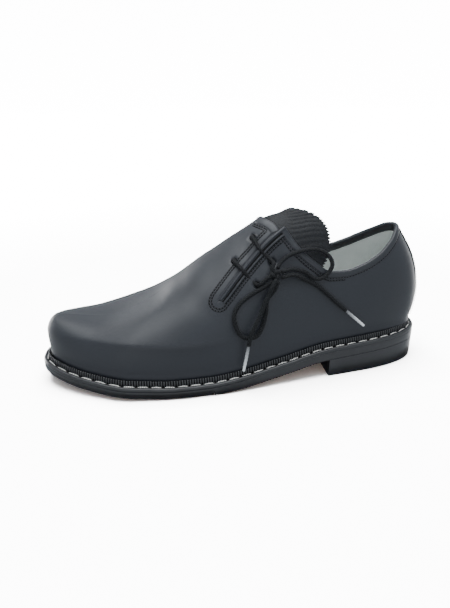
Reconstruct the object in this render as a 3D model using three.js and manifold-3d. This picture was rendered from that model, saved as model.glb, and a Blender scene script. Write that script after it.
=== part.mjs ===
// Haferl shoe, the left one of a pair: a low leather shoe laced over a slit on its outer side.
// Millimetres, +X to the toe, +Y to the outer (lateral) side, +Z up, standing on z = 0.
import * as THREE from 'three';
import Module from 'manifold-3d';

// Driving sizes
const LENGTH = 290;            // outsole, heel to toe
const BALL_WIDTH = 102.5;      // outsole, across the ball
const INSTEP = 100;            // last above the welt at the instep
const HEEL_HEIGHT = 14;        // under the outsole at the heel's breast
const TOE_SPRING = 9.7;        // outsole's tip above the floor
const OUTSOLE = 6.1;           // leather outsole at the waist
const HALF_SOLE = 3;           // rubber let into the outsole's forefoot
const HALF_SOLE_BEVEL = 2.4;   // its lower edge, drawn in
const INSOLE = 3;
const INSOLE_CLEARANCE = 0.9;   // to the upper's wall
const WELT = 3.2;              // thickness of the welt strip
const WELT_GROOVE = 1;         // depth of the channel that the stitches lie in
const WELT_LIP = 1.5;          // width of the lip outside that channel
const LEDGE = 6;               // welt showing outside the upper
const RAND = 2.4;              // ribbed strip between welt and upper: its foot's width
const RAND_HEIGHT = 4.3;       // how far it stands over the welt
const RIB_PITCH = 2.9;
const RIB_DEPTH = 0.45;
const WALL = 2;                // leather of the upper
const BINDING = 0.5;           // step of the bound collar edge
const TONGUE = 1.8;
const TONGUE_CLEARANCE = 1.3;    // under the upper's wall
const BACKSTAY = 0.8;
const BACKSTAY_CLEARANCE = 0.5;
const HEEL_DRAFT = 1.2;        // heel block drawn in at the floor
const SLIT_WIDTH = 3.4;        // open side slit
const FLAP_LIFT = 3.2;         // how far the flap's front edge stands off the last
const LACE = 3;                // round lace
const HOLE = 3.8;              // punched lace holes
const AGLET = 2.4;             // clear tip of the lace
const AGLET_LENGTH = 24;
const KNOT = 8.2;              // across the bow's knot
const KNOT_CLEARANCE = 1;     // from the knot's ball to the middle of each cord's square end
const GAP = 0.3;               // between neighbouring pieces

// Counts
const ROWS = 13;               // rows of the upper, feather to top
const LACE_SIDES = 8;

// Outsole's plan: half widths as shares of the ball's width, s is the share of the length
const OUTLINE = [
  { s: 0.00, lateral: 0.235, medial: 0.235 },
  { s: 0.06, lateral: 0.255, medial: 0.255 },
  { s: 0.16, lateral: 0.315, medial: 0.315 },
  { s: 0.30, lateral: 0.370, medial: 0.325 },
  { s: 0.42, lateral: 0.420, medial: 0.310 },
  { s: 0.54, lateral: 0.470, medial: 0.370 },
  { s: 0.66, lateral: 0.487, medial: 0.475 },
  { s: 0.78, lateral: 0.461, medial: 0.510 },
  { s: 0.88, lateral: 0.378, medial: 0.485 },
  { s: 0.95, lateral: 0.320, medial: 0.440 },
  { s: 1.00, lateral: 0.280, medial: 0.400 },
];
const ROUND = { heel: 0.12, toe: 0.22, power: 2.3 };  // ends of the plan, as superellipses

// Underside of the outsole: shares of the heel's height and of the toe spring
const FLOOR_LINE = [
  { s: 0.00, heel: 1.22, toe: 0.00 },
  { s: 0.27, heel: 1.00, toe: 0.00 },
  { s: 0.40, heel: 0.52, toe: 0.00 },
  { s: 0.50, heel: 0.18, toe: 0.00 },
  { s: 0.59, heel: 0.00, toe: 0.00 },
  { s: 0.67, heel: 0.00, toe: 0.00 },
  { s: 0.74, heel: 0.00, toe: 0.10 },
  { s: 0.82, heel: 0.00, toe: 0.25 },
  { s: 0.90, heel: 0.00, toe: 0.48 },
  { s: 1.00, heel: 0.00, toe: 1.00 },
];
const BREAST = 0.27;           // heel block's front, share of the length
const HALF_SOLE_REAR = 0.575;  // half sole's rear edge

// Sections of the last. x, y: crest, shares of length and ball width. rise: crest over the welt, share of
// the instep. top, wall: powers of the section's curve by the crest and by the welt. swell: outward bulge.
// lean: how early the section has moved along the foot to its crest.
const LAST = [
  { s: 0.00, x: 0.120, y:  0.00, rise: 0.930, top: 2.0, wall: 2.0, swell: 0.060, lean: 1.0 },
  { s: 0.10, x: 0.170, y:  0.00, rise: 0.970, top: 2.0, wall: 2.0, swell: 0.040, lean: 1.0 },
  { s: 0.25, x: 0.285, y:  0.00, rise: 0.990, top: 1.9, wall: 2.0, swell: 0.018, lean: 1.0 },
  { s: 0.40, x: 0.400, y: -0.02, rise: 1.025, top: 1.7, wall: 2.1, swell: 0.012, lean: 1.0 },
  { s: 0.50, x: 0.490, y: -0.04, rise: 0.928, top: 1.5, wall: 2.3, swell: 0.012, lean: 1.2 },
  { s: 0.60, x: 0.570, y: -0.05, rise: 0.802, top: 1.5, wall: 2.5, swell: 0.012, lean: 1.6 },
  { s: 0.70, x: 0.645, y: -0.05, rise: 0.634, top: 1.7, wall: 2.8, swell: 0.012, lean: 2.2 },
  { s: 0.80, x: 0.710, y: -0.04, rise: 0.476, top: 2.4, wall: 3.3, swell: 0.010, lean: 2.4 },
  { s: 0.90, x: 0.830, y: -0.03, rise: 0.335, top: 3.6, wall: 4.0, swell: 0.006, lean: 1.7 },
  { s: 1.00, x: 0.934, y: -0.03, rise: 0.317, top: 4.2, wall: 4.2, swell: 0.004, lean: 1.0 },
];
const SWELL_END = 0.8;         // share of the rise where the bulge has gone
const SWELL_START = 3;         // over the rand

// Collar's edge: share of the last's rise, on the outer flap and quarter and on the inner side
const TOPLINE = [
  { s: 0.000, lateral: 0.860, medial: 0.860 },
  { s: 0.030, lateral: 0.810, medial: 0.840 },
  { s: 0.070, lateral: 0.745, medial: 0.790 },
  { s: 0.120, lateral: 0.665, medial: 0.725 },
  { s: 0.170, lateral: 0.605, medial: 0.670 },
  { s: 0.220, lateral: 0.575, medial: 0.635 },
  { s: 0.260, lateral: 0.580, medial: 0.640 },
  { s: 0.300, lateral: 0.660, medial: 0.690 },
  { s: 0.335, lateral: 0.755, medial: 0.760 },
  { s: 0.384, lateral: 0.905, medial: 0.880 },
  { s: 0.435, lateral: 1.000, medial: 1.000 },
];

// Side slit: its column of the grid starts at foot and leans back from row share bend to the corner
const SLIT = { foot: 0.60, corner: 0.384, cornerUp: 0.905, bend: 0.42, bow: 1.3, lowestRow: 7 };
const THROAT = { crest: 0.435, lateralFoot: 0.64, medialFoot: 0.50, sweep: 0.7 };
const COLUMNS = { quarter: 18, vampEdge: 3, front: 18 };
const FLAP_REACH = 0.036;      // how far back the flap's lift fades, as a turn round the sole

// Lace holes: station and climb on the last
const HOLES = {
  vampLower: { s: 0.511, t: 0.645 },
  vampUpper: { s: 0.457, t: 0.757 },
  flapLower: { s: 0.455, t: 0.419 },
  flapUpper: { s: 0.414, t: 0.511 },
};

// Tongue's side edges, as climbs down from the crest on the outer and the inner side
const TONGUE_EDGES = [
  { s: 0.25, lateral: 0.68, medial: 0.10 },
  { s: 0.40, lateral: 0.62, medial: 0.20 },
  { s: 0.50, lateral: 0.60, medial: 0.36 },
  { s: 0.61, lateral: 0.67, medial: 0.45 },
];
// Its round head: rear end, depth of the rounding, and how far it stands proud above the collar
const TONGUE_SHAPE = { rear: 0.255, round: 0.12, rise: 3.3, riseFrom: 0.39, riseTo: 0.36, rows: 12, columns: 12 };

// Short lace stretches on the upper: station, climb and distance off the last
const LACE_BARS = {
  vampLower: [[0.511, 0.645, 2.1], [0.503, 0.60, 2.3], [0.494, 0.555, 1.9]],
  vampUpper: [[0.457, 0.757, 2.1], [0.450, 0.71, 2.3], [0.441, 0.655, 1.9]],
  flapLower: [[0.455, 0.419, 2.3], [0.444, 0.425, 4.0]],
  flapUpper: [[0.414, 0.511, 3.2], [0.414, 0.495, 4.4]],
};

// The bow lies on the outer side; its routes are chosen by hand
const KNOT_PLACE = { s: 0.412, climb: 0.438, out: 5.4, flat: 0.85 };
const LACE_ROUTES = {
  upperLoop: [
    [115.9, 28.3, 90.5], [109.7, 25.8, 94.4], [99.2, 24.4, 97.2], [87.3, 24.0, 97.0], [80.5, 25.5, 93.0],
    [77.8, 27.6, 87.0], [81.1, 29.2, 80.8], [86.5, 30.4, 77.7], [92.2, 30.6, 78.5], [98.0, 29.8, 83.0],
    [107.8, 29.8, 85.8],
  ],
  lowerLoop: [
    [128.3, 34.0, 75.6], [139.9, 34.0, 68.8], [146.5, 35.6, 63.8], [150.2, 38.0, 57.8], [149.7, 40.8, 49.8],
    [146.1, 42.4, 43.1], [141.8, 42.4, 40.9], [135.0, 41.2, 41.2], [130.7, 39.4, 46.7], [127.6, 37.4, 56.5],
    [126.5, 36.0, 66.4], [121.0, 35.6, 74.0],
  ],
  rightEnd: [
    [106.5, 31.8, 82.2], [97.8, 31.2, 77.7], [88.5, 31.2, 72.2], [79.7, 31.9, 64.2], [72.9, 32.0, 57.4],
    [66.8, 31.8, 51.8],
  ],
  lowerEnd: [
    [123.5, 38.9, 77.5], [125.8, 39.0, 72.0], [129.5, 40.2, 65.0], [133.0, 42.2, 57.0], [137.0, 44.2, 50.0],
    [140.0, 45.4, 43.5], [141.3, 45.4, 36.5],
  ],
};

const wasm = await Module();
wasm.setup();

// Value of a table's column at s: cubic pieces whose slopes never overshoot the rows
function along(rows, key, s) {
  const last = rows.length - 1;
  const at = Math.min(Math.max(s, rows[0].s), rows[last].s);
  let i = 0;
  while (i < last - 1 && at >= rows[i + 1].s) i += 1;
  const step = (k) => rows[k + 1].s - rows[k].s;
  const rate = (k) => (rows[k + 1][key] - rows[k][key]) / step(k);
  const slope = (k) => {
    if (k === 0) return rate(0);
    if (k === last) return rate(last - 1);
    const product = rate(k - 1) * rate(k);
    return product > 0 ? 2 * product / (rate(k - 1) + rate(k)) : 0;
  };
  const h = step(i);
  const t = (at - rows[i].s) / h;
  return (1 + 2 * t) * (1 - t) ** 2 * rows[i][key] + t * (1 - t) ** 2 * h * slope(i)
    + t * t * (3 - 2 * t) * rows[i + 1][key] - t * t * (1 - t) * h * slope(i + 1);
}

const clamp = (v, low, high) => Math.min(Math.max(v, low), high);
const mix = (p, q, k) => p + (q - p) * k;

// A turn runs from 0 at the heel's back over the outer side to 0.5 at the toe and back to 1
const station = (turn) => (1 - Math.cos(2 * Math.PI * turn)) / 2;
const turnAt = (s) => Math.acos(1 - 2 * s) / (2 * Math.PI);

// Outsole's rim in plan
function rim(turn) {
  const s = station(turn);
  const heel = clamp((ROUND.heel - s) / ROUND.heel, 0, 1);
  const toe = clamp((s - 1 + ROUND.toe) / ROUND.toe, 0, 1);
  const round = ((1 - heel ** ROUND.power) * (1 - toe ** ROUND.power)) ** (1 / ROUND.power);
  const outer = ((turn % 1) + 1) % 1 < 0.5;
  const half = outer ? along(OUTLINE, 'lateral', s) : -along(OUTLINE, 'medial', s);
  return new THREE.Vector2(s * LENGTH, half * BALL_WIDTH * round);
}

// The rim drawn in by a distance
function outline(turn, inset = 0) {
  const e = 0.002;
  const way = rim(turn + e).sub(rim(turn - e)).normalize();
  return rim(turn).add(new THREE.Vector2(way.y, -way.x).multiplyScalar(inset));
}

// Height of the outsole's underside over the floor at x
function lift(x) {
  const s = x / LENGTH;
  return HEEL_HEIGHT * along(FLOOR_LINE, 'heel', s) + TOE_SPRING * along(FLOOR_LINE, 'toe', s);
}

// Point on the last: turn goes round the sole, climb from the feather (0) to the crest (1)
function lastPoint(turn, climb) {
  const s = station(turn);
  const foot = outline(turn, LEDGE);
  const crest = new THREE.Vector2(along(LAST, 'x', s) * LENGTH, along(LAST, 'y', s) * BALL_WIDTH);
  const rise = INSTEP * along(LAST, 'rise', s) + WELT - GAP;
  const angle = clamp(climb, 0, 1) * Math.PI / 2;
  const inward = 1 - Math.max(Math.cos(angle), 0) ** (2 / along(LAST, 'top', s));
  const up = Math.sin(angle) ** (2 / along(LAST, 'wall', s));
  const start = (WELT + RAND_HEIGHT + SWELL_START) / rise;
  const belly = Math.sin(Math.PI * clamp((up - start) / (SWELL_END - start), 0, 1));
  const way = crest.sub(foot);
  const out = way.clone().normalize().multiplyScalar(along(LAST, 'swell', s) * BALL_WIDTH * belly);
  const forth = 1 - (1 - inward) ** along(LAST, 'lean', s);
  const plan = foot.clone().add(new THREE.Vector2(way.x * forth, way.y * inward)).sub(out);
  return new THREE.Vector3(plan.x, plan.y, lift(foot.x) + OUTSOLE + GAP + rise * up);
}

// Climb at which the last has risen by a share of its height
const climbAt = (s, up) => Math.asin(clamp(up, 0, 1) ** (along(LAST, 'wall', s) / 2)) * 2 / Math.PI;

// Outward direction of the last's surface
function lastNormal(turn, climb) {
  const e = 0.002;
  const round = lastPoint(turn + e, climb).sub(lastPoint(turn - e, climb));
  const above = lastPoint(turn, Math.min(climb + e, 1)).sub(lastPoint(turn, Math.max(climb - e, 0)));
  return above.cross(round).normalize();
}

const offLast = (turn, climb, out) => lastPoint(turn, climb).addScaledVector(lastNormal(turn, climb), out);

// Closed geometry from points and faces of three or four corners, turned to face outwards
function closedGeometry(points, faces) {
  const index = [];
  for (const [a, b, c, d] of faces) {
    if (a !== b && b !== c && a !== c) index.push(a, b, c);
    if (d !== undefined && a !== d && c !== d) index.push(a, c, d);
  }
  let volume = 0;
  for (let i = 0; i < index.length; i += 3) {
    const [p, q, r] = [points[index[i]], points[index[i + 1]], points[index[i + 2]]];
    volume += p.dot(q.clone().cross(r));
  }
  if (volume < 0) index.reverse();
  const geometry = new THREE.BufferGeometry();
  geometry.setAttribute('position', new THREE.Float32BufferAttribute(points.flatMap((p) => p.toArray()), 3));
  geometry.setIndex(index);
  return geometry;
}

// A sheet of leather: the given face, a second one inside it by its own thickness, and the cut edges
function leather(points, faces, thickness) {
  const normals = points.map(() => new THREE.Vector3());
  const edges = new Map();
  for (const face of faces) {
    const corners = face.filter((v, i) => v !== face[(i + 1) % face.length]);
    const [a, b, c] = [points[corners[0]], points[corners[1]], points[corners[2]]];
    const d = points[corners[corners.length - 1]];
    const normal = c.clone().sub(a).cross(d.clone().sub(b));
    if (corners.length === 3) normal.copy(b.clone().sub(a).cross(c.clone().sub(a)));
    corners.forEach((v, i) => {
      normals[v].add(normal);
      const next = corners[(i + 1) % corners.length];
      if (edges.has(`${next},${v}`)) edges.delete(`${next},${v}`);
      else edges.set(`${v},${next}`, [v, next]);
    });
  }
  const count = points.length;
  const inner = points.map((p, i) => p.clone().addScaledVector(normals[i].normalize(), -thickness));
  const inside = faces.map((face) => face.map((v) => v + count).reverse());
  const rims = [...edges.values()].map(([a, b]) => [b, a, a + count, b + count]);
  return closedGeometry([...points, ...inner], [...faces, ...inside, ...rims]);
}

// Faces of a grid of vertex numbers, columns by rows
function gridFaces(ids) {
  const faces = [];
  for (let i = 0; i + 1 < ids.length; i += 1) {
    for (let j = 0; j + 1 < ids[i].length; j += 1) {
      faces.push([ids[i][j], ids[i][j + 1], ids[i + 1][j + 1], ids[i + 1][j]]);
    }
  }
  return faces;
}

// Turns of the upper's columns at the feather; the plates under the foot use the same ones
const spread = (from, to, count) => Array.from({ length: count + 1 }, (_, i) => mix(from, to, i / count));
const lateralFeet = [
  ...spread(0, turnAt(SLIT.foot), COLUMNS.quarter),
  ...spread(turnAt(SLIT.foot), turnAt(THROAT.lateralFoot), COLUMNS.vampEdge).slice(1),
  ...spread(turnAt(THROAT.lateralFoot), 0.5, COLUMNS.front).slice(1),
];
const medialFeet = [
  ...spread(0, turnAt(THROAT.medialFoot), COLUMNS.quarter + COLUMNS.vampEdge),
  ...spread(turnAt(THROAT.medialFoot), 0.5, COLUMNS.front).slice(1),
];

// One cell of a column of the upper: the column starts at a foot turn and leans towards a top turn
function cell(foot, top, up, share) {
  const lean = clamp((share - SLIT.bend) / (1 - SLIT.bend), 0, 1) ** SLIT.bow;
  return { turn: mix(foot, top, lean), climb: climbAt(station(top), up) * share, share };
}

// A whole column; at the slit it is shifted along the foot by half the opening
function column(foot, top, up, opening = 0) {
  const cells = Array.from({ length: ROWS + 1 }, (_, j) => cell(foot, top, up, j / ROWS));
  if (opening === 0) return cells;
  return cells.map((one, j) => {
    const shift = opening / (2 * Math.PI * LENGTH * Math.sin(2 * Math.PI * one.turn));
    return { ...one, turn: one.turn + (j > SLIT.lowestRow ? shift : 0) };
  });
}

// How far the outer flap stands off the last beside the slit
function flapLift(cell, slitCell) {
  const near = clamp(1 - (slitCell.turn - cell.turn) / FLAP_REACH, 0, 1);
  const high = clamp((cell.share - SLIT.lowestRow / ROWS) / (1 - SLIT.lowestRow / ROWS), 0, 1);
  return FLAP_LIFT * near * near * Math.sin(high * Math.PI / 2);
}

// The upper's face as points and faces, open at the collar, the slit and underneath
function upperFace() {
  const points = [];
  const place = (turn, climb, out) => points.push(offLast(turn, climb, out)) - 1;
  const bound = (j) => (j === ROWS ? BINDING : 0);
  const { quarter, vampEdge, front } = COLUMNS;
  const slitTop = turnAt(SLIT.corner);
  const slitFoot = turnAt(SLIT.foot);
  const flapEdge = column(slitFoot, slitTop, SLIT.cornerUp, -SLIT_WIDTH);
  const crestTop = turnAt(THROAT.crest);

  const flap = spread(0, 1, quarter).map((k) => {
    const top = slitTop * k;
    const up = k === 1 ? SLIT.cornerUp : along(TOPLINE, 'lateral', station(top));
    const cells = k === 1 ? flapEdge : column(slitFoot * k, top, up);
    return cells.map((cell, j) => place(cell.turn, cell.climb, flapLift(cell, flapEdge[j]) + bound(j)));
  });
  const vamp = spread(0, 1, vampEdge).map((k) => {
    const top = mix(slitTop, crestTop, k);
    const up = mix(SLIT.cornerUp, 1, k ** THROAT.sweep);
    const cells = column(mix(slitFoot, turnAt(THROAT.lateralFoot), k), top, up, k === 0 ? SLIT_WIDTH : 0);
    return cells.map((cell, j) => (
      k === 0 && j <= SLIT.lowestRow ? flap[quarter][j] : place(cell.turn, cell.climb, bound(j))
    ));
  });
  const outer = spread(0, 1, front).map((k) => {
    const cells = column(mix(turnAt(THROAT.lateralFoot), 0.5, k), mix(crestTop, 0.5, k), 1);
    return cells.map((cell, j) => (k === 0 ? vamp[vampEdge][j] : place(cell.turn, cell.climb, 0)));
  });
  const inner = spread(0, 1, front).map((k, i) => {
    const cells = column(mix(turnAt(THROAT.medialFoot), 0.5, k), mix(crestTop, 0.5, k), 1);
    return cells.map((cell, j) => (
      k === 1 || j === ROWS ? outer[i][j] : place(1 - cell.turn, cell.climb, 0)
    ));
  });
  const back = spread(0, 1, quarter + vampEdge).map((k) => {
    const top = crestTop * k;
    const cells = column(turnAt(THROAT.medialFoot) * k, top, along(TOPLINE, 'medial', station(top)));
    if (k === 0) return flap[0];
    if (k === 1) return inner[0];
    return cells.map((cell, j) => place(1 - cell.turn, cell.climb, bound(j)));
  });
  const faces = [
    ...gridFaces(flap), ...gridFaces(vamp), ...gridFaces(outer),
    ...gridFaces([...inner].reverse()), ...gridFaces([...back].reverse()),
  ];
  return { points, faces };
}

const toSolid = (geometry) => new wasm.Manifold(new wasm.Mesh({
  numProp: 3,
  vertProperties: new Float32Array(geometry.attributes.position.array),
  triVerts: new Uint32Array(geometry.index.array),
}));

function fromSolid(solid) {
  const mesh = solid.getMesh();
  const geometry = new THREE.BufferGeometry();
  geometry.setAttribute('position', new THREE.BufferAttribute(new Float32Array(mesh.vertProperties), 3));
  geometry.setIndex(Array.from(mesh.triVerts));
  return geometry;
}

// A round punch through the wall at a lace hole
function punch({ s, t }) {
  const turn = turnAt(s);
  const drill = new THREE.Mesh(new THREE.CylinderGeometry(HOLE / 2, HOLE / 2, 6 * WALL, 10));
  drill.geometry.deleteAttribute('normal');
  drill.geometry.deleteAttribute('uv');
  drill.quaternion.setFromUnitVectors(new THREE.Vector3(0, 1, 0), lastNormal(turn, t));
  drill.position.copy(lastPoint(turn, t));
  drill.updateMatrix();
  return drill.geometry.applyMatrix4(drill.matrix);
}

// Vertices at one place become one
function welded(geometry) {
  const seen = new Map();
  const points = [];
  const source = geometry.attributes.position;
  const number = Array.from({ length: source.count }, (_, i) => {
    const p = new THREE.Vector3().fromBufferAttribute(source, i);
    const key = p.toArray().map((v) => Math.round(v * 1000)).join();
    if (!seen.has(key)) seen.set(key, points.push(p) - 1);
    return seen.get(key);
  });
  const order = geometry.index ? Array.from(geometry.index.array) : [...number.keys()];
  const corners = order.map((i) => number[i]);
  const faces = [];
  for (let i = 0; i < corners.length; i += 3) faces.push(corners.slice(i, i + 3));
  return closedGeometry(points, faces);
}

function upper() {
  const { points, faces } = upperFace();
  let solid = toSolid(leather(points, faces, WALL));
  for (const hole of Object.values(HOLES)) solid = solid.subtract(toSolid(welded(punch(hole))));
  return fromSolid(solid);
}

// Turns between named stations, about step apart, the same on both sides of the foot
function stationsBetween(marks, step = 0.016) {
  const turns = [turnAt(marks[0])];
  for (let i = 1; i < marks.length; i += 1) {
    const [from, to] = [turnAt(marks[i - 1]), turnAt(marks[i])];
    turns.push(...spread(from, to, Math.max(1, Math.round((to - from) / step))).slice(1));
  }
  return turns;
}

// A plate across the foot: rings from its underside up, each an inset and a height by x
function plate(outerTurns, innerTurns, rings) {
  const points = [];
  const ids = rings.map(({ inset, height }) => {
    const place = (turn) => {
      const p = outline(turn, inset);
      return points.push(new THREE.Vector3(p.x, p.y, height(p.x))) - 1;
    };
    const outer = outerTurns.map(place);
    const isTip = (turn) => turn === 0 || turn === 0.5;
    const inner = innerTurns.map((turn, i) => (isTip(turn) ? outer[i] : place(1 - turn)));
    return { outer, inner };
  });
  const faces = [];
  const [low, top] = [ids[0], ids[ids.length - 1]];
  const end = outerTurns.length - 1;
  for (let i = 0; i < end; i += 1) {
    faces.push([top.outer[i], top.inner[i], top.inner[i + 1], top.outer[i + 1]]);
    faces.push([low.outer[i], low.outer[i + 1], low.inner[i + 1], low.inner[i]]);
    for (let r = 0; r + 1 < ids.length; r += 1) {
      faces.push([ids[r].outer[i + 1], ids[r].outer[i], ids[r + 1].outer[i], ids[r + 1].outer[i + 1]]);
      faces.push([ids[r].inner[i], ids[r].inner[i + 1], ids[r + 1].inner[i + 1], ids[r + 1].inner[i]]);
    }
  }
  for (let r = 0; r + 1 < ids.length; r += 1) {
    const ends = (i) => [ids[r].outer[i], ids[r].inner[i], ids[r + 1].inner[i], ids[r + 1].outer[i]];
    if (outerTurns[0] !== 0) faces.push(ends(0));
    if (outerTurns[end] !== 0.5) faces.push(ends(end).reverse());
  }
  return closedGeometry(points, faces);
}

const halfSoleRear = HALF_SOLE_REAR * LENGTH;

function outsole() {
  const turns = stationsBetween([0, BREAST, HALF_SOLE_REAR, HALF_SOLE_REAR + GAP / LENGTH, 0.67, 1]);
  const underside = (x) => lift(x) + (x > halfSoleRear + GAP / 2 ? HALF_SOLE + GAP : 0);
  return plate(turns, turns, [
    { inset: 0, height: underside },
    { inset: 0, height: (x) => lift(x) + OUTSOLE },
  ]);
}

function halfSole() {
  const turns = stationsBetween([HALF_SOLE_REAR + 2 * GAP / LENGTH, 0.59, 0.67, 1]);
  return plate(turns, turns, [
    { inset: HALF_SOLE_BEVEL, height: lift },
    { inset: 0, height: (x) => lift(x) + HALF_SOLE / 2 },
    { inset: 0, height: (x) => lift(x) + HALF_SOLE },
  ]);
}

function heel() {
  const turns = stationsBetween([0, BREAST]);
  return plate(turns, turns, [
    { inset: HEEL_DRAFT, height: () => 0 },
    { inset: 0, height: (x) => lift(x) - GAP },
  ]);
}

function insole() {
  const inset = LEDGE + WALL + INSOLE_CLEARANCE;
  const turns = stationsBetween([0, BREAST, 0.67, 1], 0.0125);
  return plate(turns, turns, [
    { inset, height: (x) => lift(x) + OUTSOLE + GAP },
    { inset, height: (x) => lift(x) + OUTSOLE + GAP + INSOLE },
  ]);
}

// A strip all round the sole: at each turn a closed profile of insets and heights over the outsole
function ring(turns, profileAt) {
  const points = [];
  const ids = turns.map((turn, i) => profileAt(i).map(([inset, height]) => {
    const p = outline(turn, inset);
    return points.push(new THREE.Vector3(p.x, p.y, lift(p.x) + OUTSOLE + height)) - 1;
  }));
  ids.forEach((profile) => profile.push(profile[0]));
  return closedGeometry(points, gridFaces([...ids, ids[0]]));
}

function welt() {
  const turns = [...lateralFeet, ...medialFeet.slice(1, -1).reverse().map((turn) => 1 - turn)];
  const inner = LEDGE - GAP;
  const channel = WELT - WELT_GROOVE;
  return ring(turns, () => [
    [0, GAP], [0, WELT], [WELT_LIP, WELT], [WELT_LIP + WELT_GROOVE / 2, channel], [inner, channel], [inner, GAP],
  ]);
}

// The rand stands in the welt's channel against the upper, its ribs at an even pitch
function rand() {
  const samples = spread(0, 1, 720);
  const lengths = [0];
  for (let i = 1; i < samples.length; i += 1) {
    const step = outline(samples[i], LEDGE).distanceTo(outline(samples[i - 1], LEDGE));
    lengths.push(lengths[i - 1] + step);
  }
  const round = lengths[samples.length - 1];
  const ribs = Math.round(round / RIB_PITCH);
  let at = 0;
  const turns = Array.from({ length: 2 * ribs }, (_, k) => {
    const wanted = round * k / (2 * ribs);
    while (lengths[at + 1] < wanted) at += 1;
    return mix(samples[at], samples[at + 1], (wanted - lengths[at]) / (lengths[at + 1] - lengths[at]));
  });
  const inner = LEDGE - GAP;
  return ring(turns, (i) => {
    const notch = i % 2 === 0 ? 0 : RIB_DEPTH;
    return [
      [inner - RAND + notch, WELT - WELT_GROOVE + GAP],
      [inner - RAND / 3, WELT + RAND_HEIGHT - notch],
      [inner, WELT - WELT_GROOVE + GAP],
    ];
  });
}

// Strip down the heel's back, outside the upper's first columns on both sides
function backstay() {
  const share = (k) => mix(1.15 / ROWS, (ROWS - 1) / ROWS, k);
  const shares = spread(0, 1, ROWS - 2).map(share);
  const outerFoot = turnAt(SLIT.foot) / COLUMNS.quarter;
  const outerTop = turnAt(SLIT.corner) / COLUMNS.quarter;
  const innerCount = COLUMNS.quarter + COLUMNS.vampEdge;
  const innerFoot = turnAt(THROAT.medialFoot) / innerCount;
  const innerTop = turnAt(THROAT.crest) / innerCount;
  const points = [];
  const line = (foot, top, key, turned) => shares.map((k) => {
    const one = cell(foot, top, along(TOPLINE, key, station(top)), k);
    return points.push(offLast(turned ? 1 - one.turn : one.turn, one.climb, BACKSTAY_CLEARANCE + BACKSTAY)) - 1;
  });
  const ids = [
    line(innerFoot, innerTop, 'medial', true), line(0, 0, 'lateral', false),
    line(outerFoot, outerTop, 'lateral', false),
  ];
  return leather(points, gridFaces(ids), BACKSTAY);
}

// The tongue lies under the vamp and the flap; its round head stands over the instep
function tongue() {
  const { rear, round, rows, columns } = TONGUE_SHAPE;
  const front = TONGUE_EDGES[TONGUE_EDGES.length - 1].s;
  const points = [];
  const ease = (v) => Math.sin(clamp(v, 0, 1) * Math.PI / 2) ** 2;
  const ids = spread(0, 1, columns).map((across) => spread(0, 1, rows).map((k) => {
    const swing = 2 * across - 1;
    const end = rear + round * (1 - Math.sqrt(Math.max(1 - swing * swing, 0)));
    const s = mix(front, end, Math.sin(k * Math.PI / 2));
    const off = mix(along(TONGUE_EDGES, 'lateral', s), -along(TONGUE_EDGES, 'medial', s), across);
    const turn = off < 0 ? 1 - turnAt(s) : turnAt(s);
    const rise = ease((TONGUE_SHAPE.riseFrom - s) / 0.07) * ease((TONGUE_SHAPE.riseTo - off) / 0.2);
    const out = TONGUE_SHAPE.rise * rise - WALL - TONGUE_CLEARANCE;
    return points.push(offLast(turn, 1 - Math.abs(off), out)) - 1;
  }));
  return leather(points, gridFaces(ids), TONGUE);
}

// A round cord through points, its ends cut square
function cord(points, diameter, step = 8) {
  const path = new THREE.CatmullRomCurve3(points, false, 'centripetal');
  const section = new THREE.Shape(spread(0, 1, LACE_SIDES).slice(0, -1).map((k) => (
    new THREE.Vector2(Math.cos(2 * Math.PI * k), Math.sin(2 * Math.PI * k)).multiplyScalar(diameter / 2)
  )));
  const steps = Math.max(2, Math.round(path.getLength() / step));
  return new THREE.ExtrudeGeometry(section, { steps, extrudePath: path, bevelEnabled: false });
}

const vector = ([x, y, z]) => new THREE.Vector3(x, y, z);
const onUpper = ([s, climb, out]) => offLast(turnAt(s), climb, out);

// The knot lies on the outer flap; its cords leave it at angles counted from the heel's side upwards
const knotTurn = turnAt(KNOT_PLACE.s);
const knotCentre = offLast(knotTurn, KNOT_PLACE.climb, KNOT_PLACE.out);
const knotOut = lastNormal(knotTurn, KNOT_PLACE.climb);
const knotBack = new THREE.Vector3(-1, 0, 0).projectOnPlane(knotOut).normalize();
const knotUp = new THREE.Vector3().crossVectors(knotBack, knotOut).normalize();
if (knotUp.z < 0) knotUp.negate();

function port(degrees, outward = 0) {
  const [angle, tilt] = [degrees, outward].map(THREE.MathUtils.degToRad);
  return knotBack.clone().multiplyScalar(Math.cos(angle)).addScaledVector(knotUp, Math.sin(angle))
    .multiplyScalar(Math.cos(tilt)).addScaledVector(knotOut, Math.sin(tilt))
    .multiplyScalar(KNOT / 2 + KNOT_CLEARANCE).add(knotCentre);
}

function knot() {
  const ball = new THREE.SphereGeometry(KNOT / 2, 12, 8);
  return ball.scale(1, KNOT_PLACE.flat, 1)
    .applyMatrix4(new THREE.Matrix4().makeBasis(knotBack, knotOut, knotBack.clone().cross(knotOut)))
    .translate(knotCentre.x, knotCentre.y, knotCentre.z);
}

// The clear tip carries on straight from the end of its lace
function aglet(route) {
  const end = route[route.length - 1];
  const way = end.clone().sub(route[route.length - 2]).normalize();
  const start = end.clone().addScaledVector(way, GAP);
  return cord([start, start.clone().addScaledVector(way, AGLET_LENGTH)], AGLET, AGLET_LENGTH / 2);
}

const material = (color, roughness, metalness = 0) => new THREE.MeshStandardMaterial({ color, roughness, metalness });
const black = 0x26272a;
const group = new THREE.Group();
const shoe = new THREE.Group();
const laces = new THREE.Group();
shoe.add(laces);
group.add(shoe);

function piece(parent, name, geometry, color, roughness) {
  const mesh = new THREE.Mesh(geometry, material(color, roughness));
  mesh.name = name;
  parent.add(mesh);
}

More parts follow.
